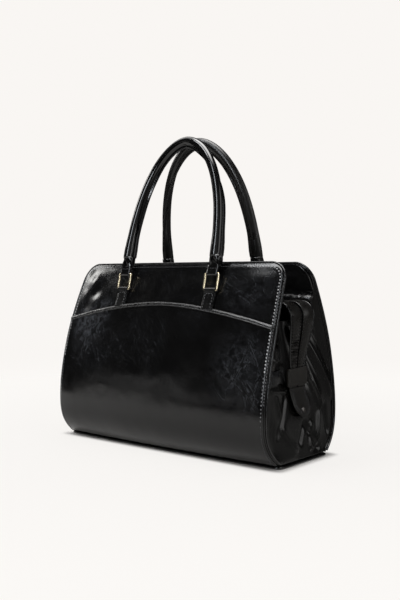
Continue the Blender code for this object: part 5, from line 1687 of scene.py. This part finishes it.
def makeFloor():
    bm = bmesh.new()
    bmesh.ops.create_circle(bm, cap_ends=True, segments=96, radius=table["radius"])
    bmesh.ops.translate(bm, verts=bm.verts, vec=(0.0, 0.0, -table["sink"]))
    mesh = bpy.data.meshes.new("studioFloor")
    bm.to_mesh(mesh)
    bm.free()
    floor = bpy.data.objects.new("studioFloor", mesh)
    scene.collection.objects.link(floor)
    material, tree, shader = newMaterial("paleFloor")
    place = coordinatesOf(tree)
    cloud = ramp(tree, noiseNode(tree, place, 2.0, 2.0), 0.3, 0.7)
    dim = tuple(c * table["shade"] for c in table["tone"])
    tree.links.new(blendColour(tree, cloud, dim, table["tone"]), shader.inputs["Base Color"])
    setInputs(shader, {"Roughness": table["roughness"], "Specular IOR Level": table["shine"]})
    distance = vectorMath(tree, "LENGTH", place)
    far = ramp(tree, distance, *table["glowFrom"], table["glow"], 1.0)
    rays = addNode(tree, "ShaderNodeLightPath").outputs
    camera, glossy = rays["Is Camera Ray"], rays["Is Glossy Ray"]
    parts = axesOf(tree, place)
    x, y = parts["X"], parts["Y"]

    def beyond(towardX, towardY, start, end, strongest=1.0):
        # how far a place lies past a line across the floor
        dot = plus(tree, times(tree, x, towardX), times(tree, y, towardY))
        return ramp(tree, dot, start, end, 0.0, strongest)

    # for reflections the lit table ends at its left edge, ahead, on the right and behind
    # a dark room lies past it
    toFar = plus(tree, times(tree, x, table["farEnd"][0]), times(tree, y, table["farEnd"][1]))
    besideFar = ramp(tree, calc(tree, "DIVIDE", toFar, distance), *table["farEdge"], 1.0, 0.0)
    ahead = times(tree, ramp(tree, distance, *table["farFrom"]), besideFar)
    rightCorner = times(tree, beyond(*table["front"]), beyond(*table["right"]))
    dimmer = beyond(*table["behind"], 1.0 - table["behindLeft"])
    hidden = most(tree, beyond(*table["left"]), ahead, rightCorner, dimmer)
    bright = calc(tree, "SUBTRACT", 1.0, times(tree, hidden, glossy))
    # no glow where the bag stands, so its own shadow stays on the floor
    outside = [calc(tree, "MAXIMUM", calc(tree, "SUBTRACT", calc(tree, "ABSOLUTE", axis), half), 0.0)
               for axis, half in ((x, halfLength(0.0)), (y, wallDepth(0.0, 0.0)))]
    fromFoot = calc(tree, "SQRT", plus(tree, *[times(tree, part, part) for part in outside]))
    bright = times(tree, bright, most(tree, ramp(tree, fromFoot, *table["reflected"]), camera))
    glow = addNode(tree, "ShaderNodeEmission")
    away = ramp(tree, distance, *table["whiteFrom"])
    tree.links.new(blendColour(tree, away, studio["glow"], studio["white"]), glow.inputs["Color"])
    tree.links.new(bright, glow.inputs["Strength"])
    covered = times(tree, ramp(tree, hidden, 0.0, 0.5), glossy)
    clear = ramp(tree, fromFoot, *table["shadow"])
    mask = times(tree, most(tree, far, covered), most(tree, camera, glossy), clear)
    output = next(node for node in tree.nodes if node.type == "OUTPUT_MATERIAL")
    tree.links.new(mixShaders(tree, mask, shader.outputs[0], glow.outputs[0]), output.inputs["Surface"])
    mesh.materials.append(material)
    floor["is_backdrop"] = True


def makeWorld():
    # white to the camera, patches of light for reflections, a dark room elsewhere
    world = bpy.data.worlds.new("studioWorld")
    world.use_nodes = True
    scene.world = world
    tree = world.node_tree
    tree.nodes.clear()
    direction = coordinatesOf(tree, "Generated")
    height = axesOf(tree, direction)["Z"]
    rays = addNode(tree, "ShaderNodeLightPath").outputs
    glossy = rays["Is Glossy Ray"]

    def background(colour):
        node = addNode(tree, "ShaderNodeBackground")
        node.inputs["Color"].default_value = (*colour, 1.0)
        return node

    patches = [ramp(tree, vectorMath(tree, "DOT_PRODUCT", direction, way), start, end, 0.0, strength)
               for way, start, end, strength in glows]
    overhead = ramp(tree, height, *studio["overheadFrom"], 0.0, studio["overhead"])
    reflected = plus(tree, overhead, *patches, studio["darkRoom"])
    diffuse = times(tree, calc(tree, "SUBTRACT", 1.0, glossy), studio["ambient"])
    # the far end of the table shows as a low pale wall
    level = vectorMath(tree, "NORMALIZE", vectorMath(tree, "MULTIPLY", direction, (1.0, 1.0, 0.0)))
    farEnd = vectorMath(tree, "DOT_PRODUCT", level, (*table["farEnd"], 0.0))
    lowWall = times(tree, ramp(tree, farEnd, *table["farEdge"], 0.0, studio["lowWall"]),
                    ramp(tree, height, *studio["wallTop"], 1.0, 0.0))
    lit = background(studio["lit"])
    strength = plus(tree, times(tree, glossy, reflected), diffuse, times(tree, lowWall, glossy))
    tree.links.new(strength, lit.inputs["Strength"])
    # an upright strip of cool light in front of the bag
    bearing = vectorMath(tree, "DOT_PRODUCT", level, studio["stripAt"])
    strip = times(tree, ramp(tree, bearing, *studio["stripEdge"], 0.0, studio["stripLight"]),
                  ramp(tree, height, *studio["stripFoot"]),
                  ramp(tree, height, *studio["stripTop"], 1.0, 0.0), glossy)
    cool = background(studio["cool"])
    tree.links.new(strip, cool.inputs["Strength"])
    both = addNode(tree, "ShaderNodeAddShader")
    tree.links.new(lit.outputs[0], both.inputs[0])
    tree.links.new(cool.outputs[0], both.inputs[1])
    shown = most(tree, rays["Is Camera Ray"], rays["Is Transmission Ray"])
    output = addNode(tree, "ShaderNodeOutputWorld")
    mixed = mixShaders(tree, shown, both.outputs[0], background(studio["white"]).outputs[0])
    tree.links.new(mixed, output.inputs["Surface"])


lamps = {
    "keySoftbox": {"place": (-0.50, -0.86, 1.78), "size": (0.60, 0.30), "power": 8.0, "colour": (0.97, 0.98, 1.0)},
    "leftSoftbox": {"place": (-1.62, -0.28, 1.01), "size": (0.42, 0.36), "power": 3.3, "colour": (1.0, 0.99, 0.96)},
    "topSoftbox": {"place": (0.10, 0.25, 1.80), "size": (1.2, 0.8), "power": 3.0, "colour": (1.0, 0.99, 0.97)},
}


def makeLamps():
    aim = Vector((0.0, 0.0, 0.16))
    for name, facts in lamps.items():
        data = bpy.data.lights.new(name, "AREA")
        data.shape = "RECTANGLE"
        data.size, data.size_y = facts["size"]
        data.energy = facts["power"]
        data.color = facts["colour"]
        lamp = bpy.data.objects.new(name, data)
        lamp.location = facts["place"]
        lamp.rotation_euler = (aim - Vector(facts["place"])).to_track_quat("-Z", "Y").to_euler()
        scene.collection.objects.link(lamp)


makeFloor()
makeWorld()
makeLamps()
scene.view_settings.view_transform = "Standard"
print("studio ready")

low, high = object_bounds()
{"cad": [list(cadLow), list(cadHigh)], "visual": [list(low), list(high)]}
